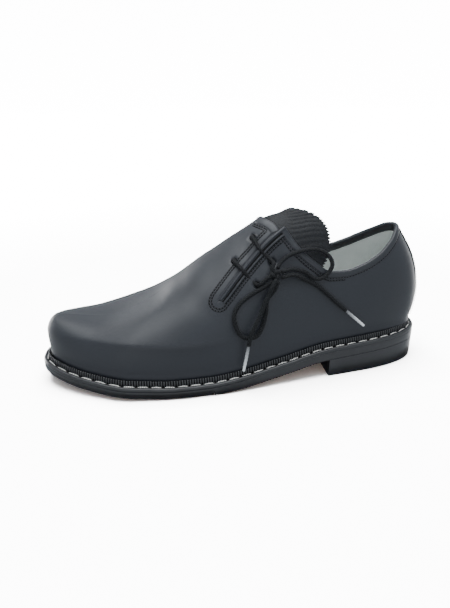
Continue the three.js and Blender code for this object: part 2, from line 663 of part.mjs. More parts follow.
piece(shoe, 'heel', heel(), 0x2b2c2f, 0.6);
piece(shoe, 'half_sole', halfSole(), 0x232325, 0.85);
piece(shoe, 'outsole', outsole(), 0xb5855a, 0.6);
piece(shoe, 'welt', welt(), 0x303134, 0.55);
piece(shoe, 'rand', rand(), 0x2a2b2e, 0.5);
piece(shoe, 'insole', insole(), 0x8f9593, 0.9);
piece(shoe, 'upper', upper(), black, 0.45);
piece(shoe, 'backstay', backstay(), black, 0.45);
piece(shoe, 'tongue', tongue(), black, 0.6);

const rightEnd = [port(-23), ...LACE_ROUTES.rightEnd.map(vector)];
const lowerEnd = [port(-95, 48), ...LACE_ROUTES.lowerEnd.map(vector)];
piece(shoe, 'lace_bar_lower', cord(LACE_BARS.vampLower.map(onUpper), LACE, 4), black, 0.8);
piece(shoe, 'lace_bar_upper', cord(LACE_BARS.vampUpper.map(onUpper), LACE, 4), black, 0.8);
piece(shoe, 'lace_strand_lower', cord([...LACE_BARS.flapLower.map(onUpper), port(-165)], LACE, 4), black, 0.8);
piece(shoe, 'lace_strand_upper', cord([...LACE_BARS.flapUpper.map(onUpper), port(112)], LACE, 4), black, 0.8);
piece(laces, 'lace_knot', knot(), black, 0.8);
piece(laces, 'lace_loop_upper', cord([port(67), ...LACE_ROUTES.upperLoop.map(vector), port(22)], LACE), black, 0.8);
piece(laces, 'lace_loop_lower', cord([port(-117), ...LACE_ROUTES.lowerLoop.map(vector), port(-70)], LACE), black, 0.8);
piece(laces, 'lace_end_right', cord(rightEnd, LACE), black, 0.8);
piece(laces, 'lace_end_lower', cord(lowerEnd, LACE), black, 0.8);
piece(laces, 'aglet_right', aglet(rightEnd), 0xd8dadc, 0.2);
piece(laces, 'aglet_lower', aglet(lowerEnd), 0xd8dadc, 0.2);

// The origin goes under the middle of the shoe, measured without the bow
const box = new THREE.Box3();
shoe.children.filter((child) => child.isMesh).forEach((mesh) => box.expandByObject(mesh));
const middle = box.getCenter(new THREE.Vector3());
shoe.position.set(-middle.x, -middle.y, 0);

export default group;
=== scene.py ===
# %% [markdown]
# A haferl shoe, the left one of a pair: low black leather, laced over a slit on its outer side, with a
# round pinked tongue, a ribbed rand and a white stitched welt. Every piece is a surface worked out from
# the shoe's own sizes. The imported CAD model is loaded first, because it fixes the frame: metres, +X to the
# toe, +Y to the outer side, +Z up, standing on z = 0.

# %% Load the frame
import math

import bmesh
import bpy
import numpy as np
from mathutils import Matrix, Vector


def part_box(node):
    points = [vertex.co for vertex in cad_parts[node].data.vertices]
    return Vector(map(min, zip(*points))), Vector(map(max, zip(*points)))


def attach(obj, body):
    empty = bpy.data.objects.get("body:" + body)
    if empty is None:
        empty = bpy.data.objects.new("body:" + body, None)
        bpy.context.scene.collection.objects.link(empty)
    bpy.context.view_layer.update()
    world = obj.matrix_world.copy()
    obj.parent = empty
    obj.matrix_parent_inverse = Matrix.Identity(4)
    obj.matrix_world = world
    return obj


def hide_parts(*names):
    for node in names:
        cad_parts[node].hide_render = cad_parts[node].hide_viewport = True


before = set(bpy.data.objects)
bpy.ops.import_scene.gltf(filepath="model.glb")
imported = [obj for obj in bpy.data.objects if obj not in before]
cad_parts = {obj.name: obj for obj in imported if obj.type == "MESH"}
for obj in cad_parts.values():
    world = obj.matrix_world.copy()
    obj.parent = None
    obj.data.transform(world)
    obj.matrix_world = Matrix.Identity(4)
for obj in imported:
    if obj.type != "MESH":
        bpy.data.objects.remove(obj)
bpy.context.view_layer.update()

# %% [markdown]
# The driving sizes are the maker's: length and ball width of the outsole, instep, heel height, toe spring
# and the thickness of each layer. They are in millimetres, and the work frame starts at the heel's back, so
# that a station along the foot is a share of the length.

# %% Driving sizes, millimetres
LENGTH = 290.0
BALL_WIDTH = 102.5
INSTEP = 100.0
HEEL_HEIGHT = 14.0
TOE_SPRING = 9.7
OUTSOLE = 6.1
HALF_SOLE = 3.0
WELT = 3.2
WELT_GROOVE = 0.9
LEDGE = 6.0
RAND = 2.4
RAND_HEIGHT = 4.3
RIB_PITCH = 1.85
WALL = 2.0
LACE = 3.0
HOLE = 3.8
GAP = 0.3
SLIT_WIDTH = 3.4
FLAP_LIFT = 3.2

# %% [markdown]
# The form's tables hold one row of shares for each station: the outsole's outline, the floor line and the
# sections of the last. A smooth curve runs through each column without overshooting its rows.

# %% Tables of the form
OUTLINE = {
    "s": (0.00, 0.06, 0.16, 0.30, 0.42, 0.54, 0.66, 0.78, 0.88, 0.95, 1.00),
    "lateral": (0.235, 0.255, 0.315, 0.370, 0.420, 0.470, 0.487, 0.461, 0.378, 0.320, 0.280),
    "medial": (0.235, 0.255, 0.315, 0.325, 0.310, 0.370, 0.475, 0.510, 0.485, 0.440, 0.400),
}
ROUND_HEEL, ROUND_TOE, ROUND_POWER = 0.12, 0.22, 2.3
FLOOR_LINE = {
    "s": (0.00, 0.27, 0.40, 0.50, 0.59, 0.67, 0.74, 0.82, 0.90, 1.00),
    "heel": (1.22, 1.00, 0.52, 0.18, 0.00, 0.00, 0.00, 0.00, 0.00, 0.00),
    "toe": (0.00, 0.00, 0.00, 0.00, 0.00, 0.00, 0.10, 0.25, 0.48, 1.00),
}
BREAST, HALF_SOLE_REAR = 0.27, 0.575
LAST = {
    "s": (0.00, 0.10, 0.25, 0.40, 0.50, 0.60, 0.70, 0.80, 0.90, 1.00),
    "x": (0.120, 0.170, 0.285, 0.400, 0.490, 0.570, 0.645, 0.710, 0.830, 0.934),
    "y": (0.00, 0.00, 0.00, -0.02, -0.04, -0.05, -0.05, -0.04, -0.03, -0.03),
    "rise": (0.930, 0.970, 0.990, 1.025, 0.928, 0.802, 0.634, 0.476, 0.335, 0.317),
    "top": (2.0, 2.0, 1.9, 1.7, 1.5, 1.5, 1.7, 2.4, 3.6, 4.2),
    "wall": (2.0, 2.0, 2.0, 2.1, 2.3, 2.5, 2.8, 3.3, 4.0, 4.2),
    "swell": (0.060, 0.040, 0.018, 0.012, 0.012, 0.012, 0.012, 0.010, 0.006, 0.004),
    "lean": (1.0, 1.0, 1.0, 1.0, 1.2, 1.6, 2.2, 2.4, 1.7, 1.0),
}
SWELL_START, SWELL_END = 3.0, 0.8
TOPLINE = {
    "s": (0.000, 0.030, 0.070, 0.120, 0.170, 0.220, 0.260, 0.300, 0.335, 0.384, 0.435),
    "lateral": (0.860, 0.810, 0.745, 0.665, 0.605, 0.575, 0.580, 0.660, 0.755, 0.905, 1.000),
    "medial": (0.860, 0.840, 0.790, 0.725, 0.670, 0.635, 0.640, 0.690, 0.760, 0.880, 1.000),
}
SLIT_FOOT, SLIT_CORNER, CORNER_UP, BEND, BOW, SLIT_START = 0.60, 0.384, 0.905, 0.42, 1.3, 0.58
CREST, LATERAL_FOOT, MEDIAL_FOOT, SWEEP = 0.435, 0.64, 0.50, 0.7
FLAP_REACH = 0.036


# %% The form's functions
def unit(v):
    return v / np.maximum(np.linalg.norm(v, axis=-1, keepdims=True), 1e-12)


def cubic(t, width, start, end, first, last):
    """A cubic piece from start to end with slopes first and last, over a width: t runs from 0 to 1."""
    return ((1 + 2 * t) * (1 - t) ** 2 * start + t * (1 - t) ** 2 * width * first
            + t * t * (3 - 2 * t) * end - t * t * (1 - t) * width * last)


def along(table, column, s):
    """Value of a column at station s: cubic pieces with the harmonic mean of two rates as slopes."""
    x, y = np.array(table["s"]), np.array(table[column], float)
    h, rate = np.diff(x), np.diff(y) / np.diff(x)
    slope = np.concatenate([rate[:1], np.zeros(len(x) - 2), rate[-1:]])
    product = rate[:-1] * rate[1:]
    same = product > 0
    slope[1:-1][same] = 2 * product[same] / (rate[:-1] + rate[1:])[same]
    s = np.clip(s, x[0], x[-1])
    i = np.clip(np.searchsorted(x, s, side="right") - 1, 0, len(h) - 1)
    return cubic((s - x[i]) / h[i], h[i], y[i], y[i + 1], slope[i], slope[i + 1])


def station(turn):
    """Share of the length at a turn: 0 at the heel's back, over the outer side to 0.5 at the toe."""
    return (1 - np.cos(2 * np.pi * np.asarray(turn, float))) / 2


def turn_at(s):
    """Turn on the outer side at which the share of the length is s."""
    return np.arccos(1 - 2 * np.asarray(s, float)) / (2 * np.pi)


def between(first, last, k):
    """Turns at the shares k of the way from one station to another, on the outer side."""
    return turn_at(first) + (turn_at(last) - turn_at(first)) * k


def rim(turn):
    """Outsole's rim in plan: a table of half widths, rounded at heel and toe as superellipses."""
    s = station(turn)
    heel = np.clip((ROUND_HEEL - s) / ROUND_HEEL, 0, 1)
    toe = np.clip((s - 1 + ROUND_TOE) / ROUND_TOE, 0, 1)
    ends = ((1 - heel ** ROUND_POWER) * (1 - toe ** ROUND_POWER)) ** (1 / ROUND_POWER)
    half = np.where(np.mod(turn, 1) < 0.5, along(OUTLINE, "lateral", s), -along(OUTLINE, "medial", s))
    return np.stack([s * LENGTH, half * BALL_WIDTH * ends], -1)


def outline(turn, inset=0.0):
    """The rim moved inwards, square to itself, by inset."""
    way = rim(turn + 0.002) - rim(turn - 0.002)
    inward = unit(np.stack([way[..., 1], -way[..., 0]], -1))
    return rim(turn) + inward * np.asarray(inset, float)[..., None]


def lift(x):
    """Height of the outsole's underside over the floor, at x."""
    s = x / LENGTH
    return HEEL_HEIGHT * along(FLOOR_LINE, "heel", s) + TOE_SPRING * along(FLOOR_LINE, "toe", s)


def bare_last(turn, climb):
    """Point of the last: a superellipse section climbs from the feather (0) to the crest (1)."""
    turn, climb = np.broadcast_arrays(np.asarray(turn, float), np.asarray(climb, float))
    s = station(turn)
    foot = outline(turn, LEDGE)
    crest = np.stack([along(LAST, "x", s) * LENGTH, along(LAST, "y", s) * BALL_WIDTH], -1)
    rise = INSTEP * along(LAST, "rise", s) + WELT - GAP
    angle = np.clip(climb, 0, 1) * np.pi / 2
    inward = 1 - np.maximum(np.cos(angle), 0) ** (2 / along(LAST, "top", s))
    forth = 1 - (1 - inward) ** along(LAST, "lean", s)
    up = np.sin(angle) ** (2 / along(LAST, "wall", s))
    start = (WELT + RAND_HEIGHT + SWELL_START) / rise
    belly = np.sin(np.pi * np.clip((up - start) / (SWELL_END - start), 0, 1))
    way = crest - foot
    swell = along(LAST, "swell", s) * BALL_WIDTH * belly
    plan = foot + way * np.stack([forth, inward], -1) - unit(way) * swell[..., None]
    return np.concatenate([plan, (lift(foot[..., 0]) + OUTSOLE + GAP + rise * up)[..., None]], -1)


def slopes(turn, climb):
    """The last's two edge directions at a point, per unit of turn and of climb."""
    e = 0.002
    low, high = np.maximum(climb - e, 0), np.minimum(climb + e, 1)
    by_turn = (bare_last(turn + e, climb) - bare_last(turn - e, climb)) / (2 * e)
    by_climb = (bare_last(turn, high) - bare_last(turn, low)) / np.asarray(high - low)[..., None]
    return by_turn, by_climb


def normal(turn, climb):
    """Outward direction of the last."""
    by_turn, by_climb = slopes(*np.broadcast_arrays(np.asarray(turn, float), np.asarray(climb, float)))
    return unit(np.cross(by_climb, by_turn))


def climb_at(s, up):
    """Climb at which the last has risen by the share up."""
    return np.arcsin(np.clip(up, 0, 1) ** (along(LAST, "wall", s) / 2)) * 2 / np.pi


ring_samples = rim(np.linspace(0, 1, 4001))
welt_low, welt_high = (np.array(corner) * 1000 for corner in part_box("welt"))
SHIFT = np.append((welt_low + welt_high)[:2] / 2 - (ring_samples.max(0) + ring_samples.min(0)) / 2, 0.0)
print("work frame moves by, mm:", np.round(SHIFT, 2).tolist())

# %% [markdown]
# Shader maths is easier to read as expressions. A small class wraps a socket and adds a Math node for each
# operator, and one method adds any other kind of node.


# %% Finish helper
class Sock:
    """A node's output that can be added, multiplied and compared like a number."""

    def __init__(self, finish, socket):
        self.finish, self.socket = finish, socket

    def __add__(self, other):
        return self.finish.math("ADD", self, other)

    def __radd__(self, other):
        return self.finish.math("ADD", other, self)

    def __sub__(self, other):
        return self.finish.math("SUBTRACT", self, other)

    def __rsub__(self, other):
        return self.finish.math("SUBTRACT", other, self)

    def __mul__(self, other):
        return self.finish.math("MULTIPLY", self, other)

    def __rmul__(self, other):
        return self.finish.math("MULTIPLY", other, self)

    def output(self, out):
        """Another output of the same node."""
        return Sock(self.finish, self.socket.node.outputs[out])


class Finish:
    """A material with one Principled shader, built up by node()."""

    def __init__(self, name, **values):
        self.material = bpy.data.materials.new(name)
        self.material.use_nodes = True
        self.tree = self.material.node_tree
        self.shader = self.tree.nodes["Principled BSDF"]
        for socket, value in values.items():
            self.shader.inputs[socket.replace("_", " ")].default_value = value

    def node(self, kind, settings=None, inputs=None, out=0):
        """A new node of any kind: its settings first, then the values or links of its sockets."""
        new = self.tree.nodes.new(kind)
        for key, value in (settings or {}).items():
            if key == "stops":
                for stop, (at, shade) in zip(new.color_ramp.elements, value):
                    stop.position, stop.color = at, (*shade, 1.0)
            else:
                setattr(new, key, value)
        for key, value in (inputs or {}).items():
            self.feed(new.inputs[key], value)
        return Sock(self, new.outputs[out])

    def math(self, operation, first, second=0.0):
        return self.node("ShaderNodeMath", {"operation": operation}, {0: first, 1: second})

    def feed(self, socket, value):
        if isinstance(value, Sock):
            self.tree.links.new(value.socket, socket)
        else:
            socket.default_value = value

    def set(self, **values):
        for socket, value in values.items():
            self.feed(self.shader.inputs[socket.replace("_", " ")], value)
        return self

    def place(self):
        return self.node("ShaderNodeTexCoord", out=3)

    def noise(self, scale, detail=3.0, rough=0.55, at=None, out=0):
        return self.node("ShaderNodeTexNoise", None, {
            "Vector": at or self.place(), "Scale": scale, "Detail": detail, "Roughness": rough}, out)

    def cells(self, scale, at, smooth=None):
        """Distance from the middle of the nearest of many cells, with soft borders where smooth is given."""
        if smooth is None:
            return self.node("ShaderNodeTexVoronoi", {"feature": "F1"}, {"Vector": at, "Scale": scale})
        return self.node("ShaderNodeTexVoronoi", {"feature": "SMOOTH_F1"}, {
            "Vector": at, "Scale": scale, "Smoothness": smooth})

    def vector(self, operation, inputs, out=0):
        return self.node("ShaderNodeVectorMath", {"operation": operation}, inputs, out)

    def ramp(self, value, first, last):
        """A colour ramp between two stops, each a place and a colour."""
        return self.node("ShaderNodeValToRGB", {"stops": (first, last)}, {0: value})

    def uv(self):
        """The two parts of the piece's own uv: the way round and the way along."""
        layer = self.node("ShaderNodeUVMap", {"uv_map": "UVMap"})
        parts = self.node("ShaderNodeSeparateXYZ", None, {0: layer})
        return parts, parts.output(1)

    def relief(self, height, distance, strength):
        """Bumps of a height map, distance metres deep."""
        return self.set(Normal=self.node("ShaderNodeBump", None, {
            "Height": height, "Distance": distance, "Strength": strength}))


# %% [markdown]
# Meshes come from arrays. `grid_faces` joins grid points with quads, `make` puts points and faces into an
# object that rides on the part's one body, and points are moved from the work frame to metres there.


# %% Mesh helpers
made = {}


def grid_faces(rows, columns, wrap_rows=False, wrap_columns=False):
    """Quads of a rows by columns grid of vertex numbers."""
    i = np.arange(rows if wrap_rows else rows - 1)[:, None]
    j = np.arange(columns if wrap_columns else columns - 1)[None, :]
    i2, j2 = (i + 1) % rows, (j + 1) % columns
    quads = np.stack(np.broadcast_arrays(
        i * columns + j, i * columns + j2, i2 * columns + j2, i2 * columns + j), -1)
    return quads.reshape(-1, 4)


def make(name, points, faces, finish, uv=None, merge=None, closed=False, extra=(), which=None):
    """A mesh object from points in the work frame (mm) and quads, on the body root."""
    points = (np.asarray(points, float).reshape(-1, 3) + SHIFT) / 1000
    faces = np.asarray(faces)
    mesh = bpy.data.meshes.new(name)
    mesh.vertices.add(len(points))
    mesh.vertices.foreach_set("co", points.ravel())
    mesh.loops.add(faces.size)
    mesh.loops.foreach_set("vertex_index", faces.ravel().astype(np.int32))
    mesh.polygons.add(len(faces))
    mesh.polygons.foreach_set("loop_start", np.arange(0, faces.size, faces.shape[1], dtype=np.int32))
    mesh.polygons.foreach_set("use_smooth", np.ones(len(faces), bool))
    if which is not None:
        mesh.polygons.foreach_set("material_index", which.astype(np.int32))
    if uv is not None:
        layer = mesh.uv_layers.new(name="UVMap")
        layer.uv.foreach_set("vector", np.asarray(uv, float).reshape(-1, 2)[faces.ravel()].ravel())
    mesh.update(calc_edges=True)
    mesh.validate()
    if merge:
        tidy = bmesh.new()
        tidy.from_mesh(mesh)
        bmesh.ops.remove_doubles(tidy, verts=tidy.verts, dist=merge / 1000)
        if closed:
            bmesh.ops.recalc_face_normals(tidy, faces=tidy.faces)
        tidy.to_mesh(mesh)
        tidy.free()
    piece = bpy.data.objects.new(name, mesh)
    bpy.context.scene.collection.objects.link(piece)
    for one in (finish, *extra):
        mesh.materials.append(one.material)
    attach(piece, "root")
    made[name] = piece
    print(name, "has", len(mesh.polygons), "faces")
    return piece


def wall(piece, thickness, lining=0, rim_finish=0):
    """Gives an open sheet its thickness, inwards from its face."""
    solid = piece.modifiers.new("Wall", "SOLIDIFY")
    solid.thickness, solid.offset, solid.use_even_offset = thickness / 1000, -1.0, False
    solid.material_offset, solid.material_offset_rim = lining, rim_finish
    return piece


def run_along(line):
    """Distance from the line's start to each of its points."""
    return np.append(0, np.cumsum(np.linalg.norm(np.diff(line, axis=0), axis=1)))


def picked(values, run, at):
    """Rows of values that belong to the distances run, read between them at other distances."""
    return np.stack([np.interp(at, run, column) for column in values.T], -1)


def even(line, spacing):
    """The line's points again, at even steps of about spacing."""
    run = run_along(line)
    at = np.linspace(0, run[-1], max(2, int(round(run[-1] / spacing)) + 1))
    return picked(line, run, at)


def route(points, spacing):
    """A smooth line through points: cubic pieces on centripetal knots, sampled evenly."""
    p = np.asarray(points, float)
    knot = np.append(0, np.cumsum(np.sqrt(np.linalg.norm(np.diff(p, axis=0), axis=1))))
    h = np.diff(knot)[:, None]
    rate = np.diff(p, axis=0) / h
    inner = (rate[:-1] * h[1:] + rate[1:] * h[:-1]) / (h[:-1] + h[1:])
    slope = np.vstack([rate[:1], inner, rate[-1:]])
    fine = np.linspace(0, knot[-1], 60 * len(p))
    i = np.clip(np.searchsorted(knot, fine, side="right") - 1, 0, len(h) - 1)
    t = ((fine - knot[i]) / h[i, 0])[:, None]
    return even(cubic(t, h[i], p[i], p[i + 1], slope[i], slope[i + 1]), spacing)


TUBE_SIDES = 14
CAP = ((0.0, 0.35), (0.7, 0.25))


def tube(name, line, radius, finish, outward):
    """A round tube: circles square to the line, closed by caps of two rings, each a share of the radius wide
    and past the end. Its uv is the way round and the way along in mm. The radius may vary along it."""
    line = np.asarray(line, float)
    size = np.broadcast_to(np.asarray(radius, float), len(line))
    tangent = unit(np.gradient(line, axis=0))
    side = unit(np.cross(tangent, np.broadcast_to(outward, line.shape)))
    front = np.cross(side, tangent)
    around = np.linspace(0, 2 * np.pi, TUBE_SIDES + 1)
    circle = np.cos(around)[:, None] * side[:, None] + np.sin(around)[:, None] * front[:, None]
    body = line[:, None] + circle * size[:, None, None]
    start = [line[:1, None] + (circle[:1] * k - tangent[0] * past) * size[0] for k, past in CAP]
    end = [line[-1:, None] + (circle[-1:] * k + tangent[-1] * past) * size[-1] for k, past in CAP[::-1]]
    run = run_along(line)
    run = np.concatenate([[-1, -0.5], run, run[-1] + np.array([0.5, 1])])
    uv = np.stack(np.broadcast_arrays(around[None] / (2 * np.pi), run[:, None]), -1)
    faces = grid_faces(len(run), TUBE_SIDES + 1)[:, ::-1]
    return make(name, np.concatenate([*start, body, *end]), faces, finish, uv=uv, merge=0.001)


# %% [markdown]
# The shoe stands on a plain pale floor under large soft lamps, as in a catalogue picture. The camera looks
# at its laced side from a little in front of the toe and above.

# %% Camera, floor and lamps
CAMERA = {"pixels": 575.0, "far": 442.7, "azimuth": 172.1, "elevation": 23.9, "roll": -0.9,
          "right": 6.5, "up": -5.2, "target": (145.0, 0.0, 43.5)}
SENSOR, PICTURE_TALL = 36.0, 608.0


def aim(azimuth, elevation, roll=0.0):
    """Right, up and backward directions of a camera at an azimuth and an elevation, in degrees."""
    a, e, r = np.radians([azimuth, elevation, roll])
    back = np.array([np.sin(a) * np.cos(e), -np.cos(a) * np.cos(e), np.sin(e)])
    right = np.array([np.cos(a), np.sin(a), 0.0])
    up = np.cross(back, right)
    return np.cos(r) * right + np.sin(r) * up, -np.sin(r) * right + np.cos(r) * up, back


def placed(name, data, axes, place):
    """A new object that stands at a place, in metres, with its own axes along the given ones."""
    thing = bpy.data.objects.new(name, data)
    turned = Matrix(np.stack(axes, 1).tolist()).to_4x4()
    turned.translation = place.tolist()
    thing.matrix_world = turned
    bpy.context.scene.collection.objects.link(thing)
    return thing


right, up, back = aim(CAMERA["azimuth"], CAMERA["elevation"], CAMERA["roll"])
eye = np.array(CAMERA["target"]) + SHIFT - CAMERA["right"] * right - CAMERA["up"] * up + CAMERA["far"] * back
camera = placed("camera", bpy.data.cameras.new("camera"), (right, up, back), eye / 1000)
camera.data.sensor_width = SENSOR
camera.data.lens = CAMERA["pixels"] * SENSOR / PICTURE_TALL
camera.data.clip_start, camera.data.clip_end = 0.01, 50.0
bpy.context.scene.camera = camera
print("camera at, m:", np.round(eye / 1000, 3).tolist(), "lens mm:", round(camera.data.lens, 2))


LAMP_AIM = np.array([0.0, 0.0, 0.05])


def lamp(name, azimuth, elevation, far, wide, tall, watts, colour=(1.0, 1.0, 1.0)):
    """A rectangular lamp that looks at the shoe from an azimuth and an elevation, far metres away."""
    light = bpy.data.lights.new(name, "AREA")
    light.shape, light.size, light.size_y = "RECTANGLE", wide, tall
    light.energy, light.color = watts, colour
    axes = aim(azimuth, elevation)
    return placed(name, light, axes, LAMP_AIM + far * axes[2])


lamp("top_softbox", 172, 85, 1.2, 1.35, 1.35, 27, (0.95, 0.98, 1.0))
lamp("rear_softbox", 20, 40, 1.4, 1.0, 1.0, 1.0)
toe_strip = lamp("toe_strip", 50, 2, 1.0, 0.6, 0.8, 15)
lamp("heel_strip", 298, -8, 1.0, 0.28, 0.7, 2.3)
lamp("front_fill", 165, 5, 1.5, 1.2, 1.2, 2.2, (0.9, 0.95, 1.0))

# %% Room around the lamps
ROOM_LOW, ROOM_HIGH = (0.78, 0.84, 0.90, 1.0), (0.50, 0.55, 0.61, 1.0)
world = bpy.data.worlds.new("studio")
world.use_nodes = True
sky = world.node_tree.nodes
seen, split, room = (sky.new("ShaderNode" + kind) for kind in ("TexCoord", "SeparateXYZ", "ValToRGB"))
for stop, colour in zip(room.color_ramp.elements, (ROOM_LOW, ROOM_HIGH)):
    stop.color = colour
for start, end in ((seen.outputs["Generated"], split.inputs[0]), (split.outputs[2], room.inputs[0]),
                   (room.outputs[0], sky["Background"].inputs["Color"])):
    world.node_tree.links.new(start, end)
sky["Background"].inputs["Strength"].default_value = 1.0
bpy.context.scene.world = world

# %% [markdown]
# The floor is a round sheet of pale paper that bends up into a wall, so it shows no edge from any side. It
# has lamps of its own, because what makes paper white would wash black leather out, and it gives the shoe no
# light. It glows further out, where no shadow falls.

# %% Floor
FLOOR_FAR, FLOOR_BEND, BACKDROP, FLOOR_SIDES = 2.2, 1.2, 4.0, 72


def sweep_paper():
    """A round sheet of paper: flat, then bent up through a quarter circle into a wall all round."""
    bend = np.linspace(0, np.pi / 2, 13)
    wall_at = FLOOR_FAR + FLOOR_BEND
    reach = np.concatenate([[0.001, 0.5, 1.2], FLOOR_FAR + FLOOR_BEND * np.sin(bend), [wall_at]])[:, None]
    height = np.concatenate([[0.0, 0.0, 0.0], FLOOR_BEND * (1 - np.cos(bend)), [BACKDROP]])[:, None]
    around = np.linspace(0, 2 * np.pi, FLOOR_SIDES, endpoint=False)
    points = np.stack(np.broadcast_arrays(reach * np.cos(around), reach * np.sin(around), height), -1)
    points = points.reshape(-1, 3)
    mesh = bpy.data.meshes.new("floor")
    faces = grid_faces(len(reach), FLOOR_SIDES, wrap_columns=True).tolist()
    middle = list(range(FLOOR_SIDES))[::-1]
    mesh.from_pydata(points.tolist(), [], [*faces, middle])
    mesh.polygons.foreach_set("use_smooth", [True] * len(mesh.polygons))
    return mesh


floor_finish = Finish("floor_paper", Base_Color=(0.9, 0.9, 0.9, 1.0), Roughness=0.9, Specular_IOR_Level=0.0)
spread = floor_finish.vector("LENGTH", {0: floor_finish.place()}, out=1)
glow = floor_finish.ramp(spread * 0.5, (0.15, (0, 0, 0)), (0.5, (1, 1, 1)))
floor_finish.set(Emission_Color=glow, Emission_Strength=12.0)
floor = bpy.data.objects.new("floor", sweep_paper())
floor.data.materials.append(floor_finish.material)
bpy.context.scene.collection.objects.link(floor)
floor.visible_diffuse = floor.visible_glossy = floor.visible_transmission = floor.visible_shadow = False

floor_only = bpy.data.collections.new("lit_by_floor_lamps")
floor_only.objects.link(floor)
for floor_lamp in (lamp("floor_lamp", 0, 85, 2.0, 1.6, 1.6, 620),
                   lamp("floor_warm_lamp", 172, 35, 1.5, 0.8, 0.8, 5, (1.0, 0.62, 0.42))):
    floor_lamp.light_linking.receiver_collection = floor_only
print("floor and", len(bpy.data.lights), "lamps")

# %% [markdown]
# Finishes. Smooth calf is nearly black with a satin gloss: a fine grain of small cells, a little mottling in
# the gloss and a thin polish coat. Pebbled leather has larger cells, and sole leather keeps the colour of the
# hide. A picture of leather would repeat and smear on such curves, so every pattern is noise or cells on the
# piece's own coordinates, which have no seams and can be baked.


# %% Leathers
def calf(name, colour, rough, grain, polish):
    """Smooth leather: cell grain about 0.8 mm wide and finer pores, with soft clouds in gloss and colour."""
    f = Finish(name, Coat_Weight=polish, Coat_Roughness=0.3, Specular_IOR_Level=0.5)
    place = f.place()
    drift = f.vector("SCALE", {0: f.noise(700.0, 2.0, 0.5, place, out=1), "Scale": 0.0006})
    grain_cells = f.cells(1250.0, f.vector("ADD", {0: place, 1: drift}), 0.4)
    pores = f.noise(4200.0, 2.0, 0.6, place)
    clouds = f.noise(30.0, 4.0, 0.6, place)
    shade = f.node("ShaderNodeMix", {"data_type": "RGBA"}, {
        0: clouds, 6: (*[c * 0.8 for c in colour], 1.0), 7: (*[c * 1.25 for c in colour], 1.0)}, out=2)
    f.set(Base_Color=shade, Roughness=rough - 0.05 + 0.1 * clouds)
    return f.relief(grain_cells * 0.7 + pores * 0.3, 0.00012 * grain, 0.35)


black_calf = calf("black_calf", (0.0103, 0.0120, 0.0165), 0.47, 1.0, 0.05)
edge_calf = calf("black_binding", (0.0108, 0.0125, 0.0165), 0.44, 1.2, 0.08)
LINING_GREY = (0.59, 0.625, 0.60)
lining = calf("grey_lining_painted_glow", LINING_GREY, 0.75, 1.5, 0.0)
# The lining glows faintly in its own grey: painted light that brightens the inside of the shoe.
lining.set(Emission_Color=(*LINING_GREY, 1.0), Emission_Strength=0.05)
sock = calf("grey_insole", (0.45, 0.465, 0.46), 0.7, 1.5, 0.0)


def pebbled(name, colour):
    """Embossed leather: rounded pebbles about 1 mm across, with painted shade that darkens the valleys
    between them.
    """
    f = Finish(name, Specular_IOR_Level=0.3)
    place = f.place()
    pebbles = f.cells(1000.0, place, 0.25)
    fine = f.noise(2600.0, 3.0, 0.6, place)
    # Darker towards the cell borders: painted shade in the valleys between the pebbles.
    shade = f.ramp(pebbles, (0.25, [c * 1.2 for c in colour]), (0.75, [c * 0.4 for c in colour]))
    f.set(Base_Color=shade, Roughness=0.42 + 0.2 * fine)
    return f.relief((1.0 - pebbles) * 0.9 + fine * 0.1, 0.0004, 0.55)


tongue_leather = pebbled("pebbled_tongue", (0.0045, 0.0055, 0.0075))


def sole_leather():
    """Vegetable tanned leather: warm tan with fibres along the foot, soft clouds and dark flecks."""
    f = Finish("tan_sole_leather", Coat_Weight=0.15, Coat_Roughness=0.3)
    place = f.place()
    drawn = f.node("ShaderNodeMapping", None, {"Vector": place, "Scale": (0.25, 1.0, 1.0)})
    fibres = f.noise(900.0, 5.0, 0.65, drawn)
    clouds = f.noise(22.0, 4.0, 0.6, place)
    shade = f.ramp(0.55 * fibres + 0.45 * clouds, (0.3, (0.37, 0.19, 0.085)), (0.7, (0.53, 0.31, 0.155)))
    f.set(Base_Color=shade, Roughness=0.4 + 0.15 * fibres)
    return f.relief(fibres, 0.0001, 0.4)


tan_leather = sole_leather()


def edge_dye(name, colour, rough, lines):
    """Waxed sole edge: level layers a millimetre or so thick, as strong as lines says, and soft clouds."""
    f = Finish(name, Coat_Weight=0.2, Coat_Roughness=0.28)
    place = f.place()
    flat = f.node("ShaderNodeMapping", None, {"Vector": place, "Scale": (0.12, 0.12, 1.0)})
    layers = f.noise(1100.0, 4.0, 0.6, flat)
    clouds = f.noise(60.0, 4.0, 0.6, place)
    shade = f.ramp(layers * (0.5 * lines) + clouds * (1 - 0.5 * lines),
                   (0.3, [c * 0.75 for c in colour]), (0.75, [c * 1.35 for c in colour]))
    f.set(Base_Color=shade, Roughness=rough - 0.06 + 0.14 * clouds)
    return f.relief(layers * lines + clouds * (1 - lines), 0.00012, 0.3)


edge_black = edge_dye("black_sole_edge", (0.014, 0.0145, 0.016), 0.38, 0.15)
heel_black = edge_dye("black_heel", (0.015, 0.0155, 0.0175), 0.42, 0.1)
rand_black = edge_dye("black_rand", (0.020, 0.021, 0.023), 0.42, 0.2)


def tread_rubber():
    """Sole rubber: matt black with a fine cast grain."""
    f = Finish("black_rubber", Roughness=0.7)
    place = f.place()
    cast = f.cells(1600.0, place)
    dust = f.noise(120.0, 5.0, 0.65, place)
    f.set(Base_Color=f.ramp(dust, (0.35, (0.014, 0.014, 0.015)), (0.75, (0.03, 0.03, 0.031))),
          Roughness=0.6 + 0.2 * dust)
    return f.relief(cast, 0.0002, 0.5)


rubber = tread_rubber()
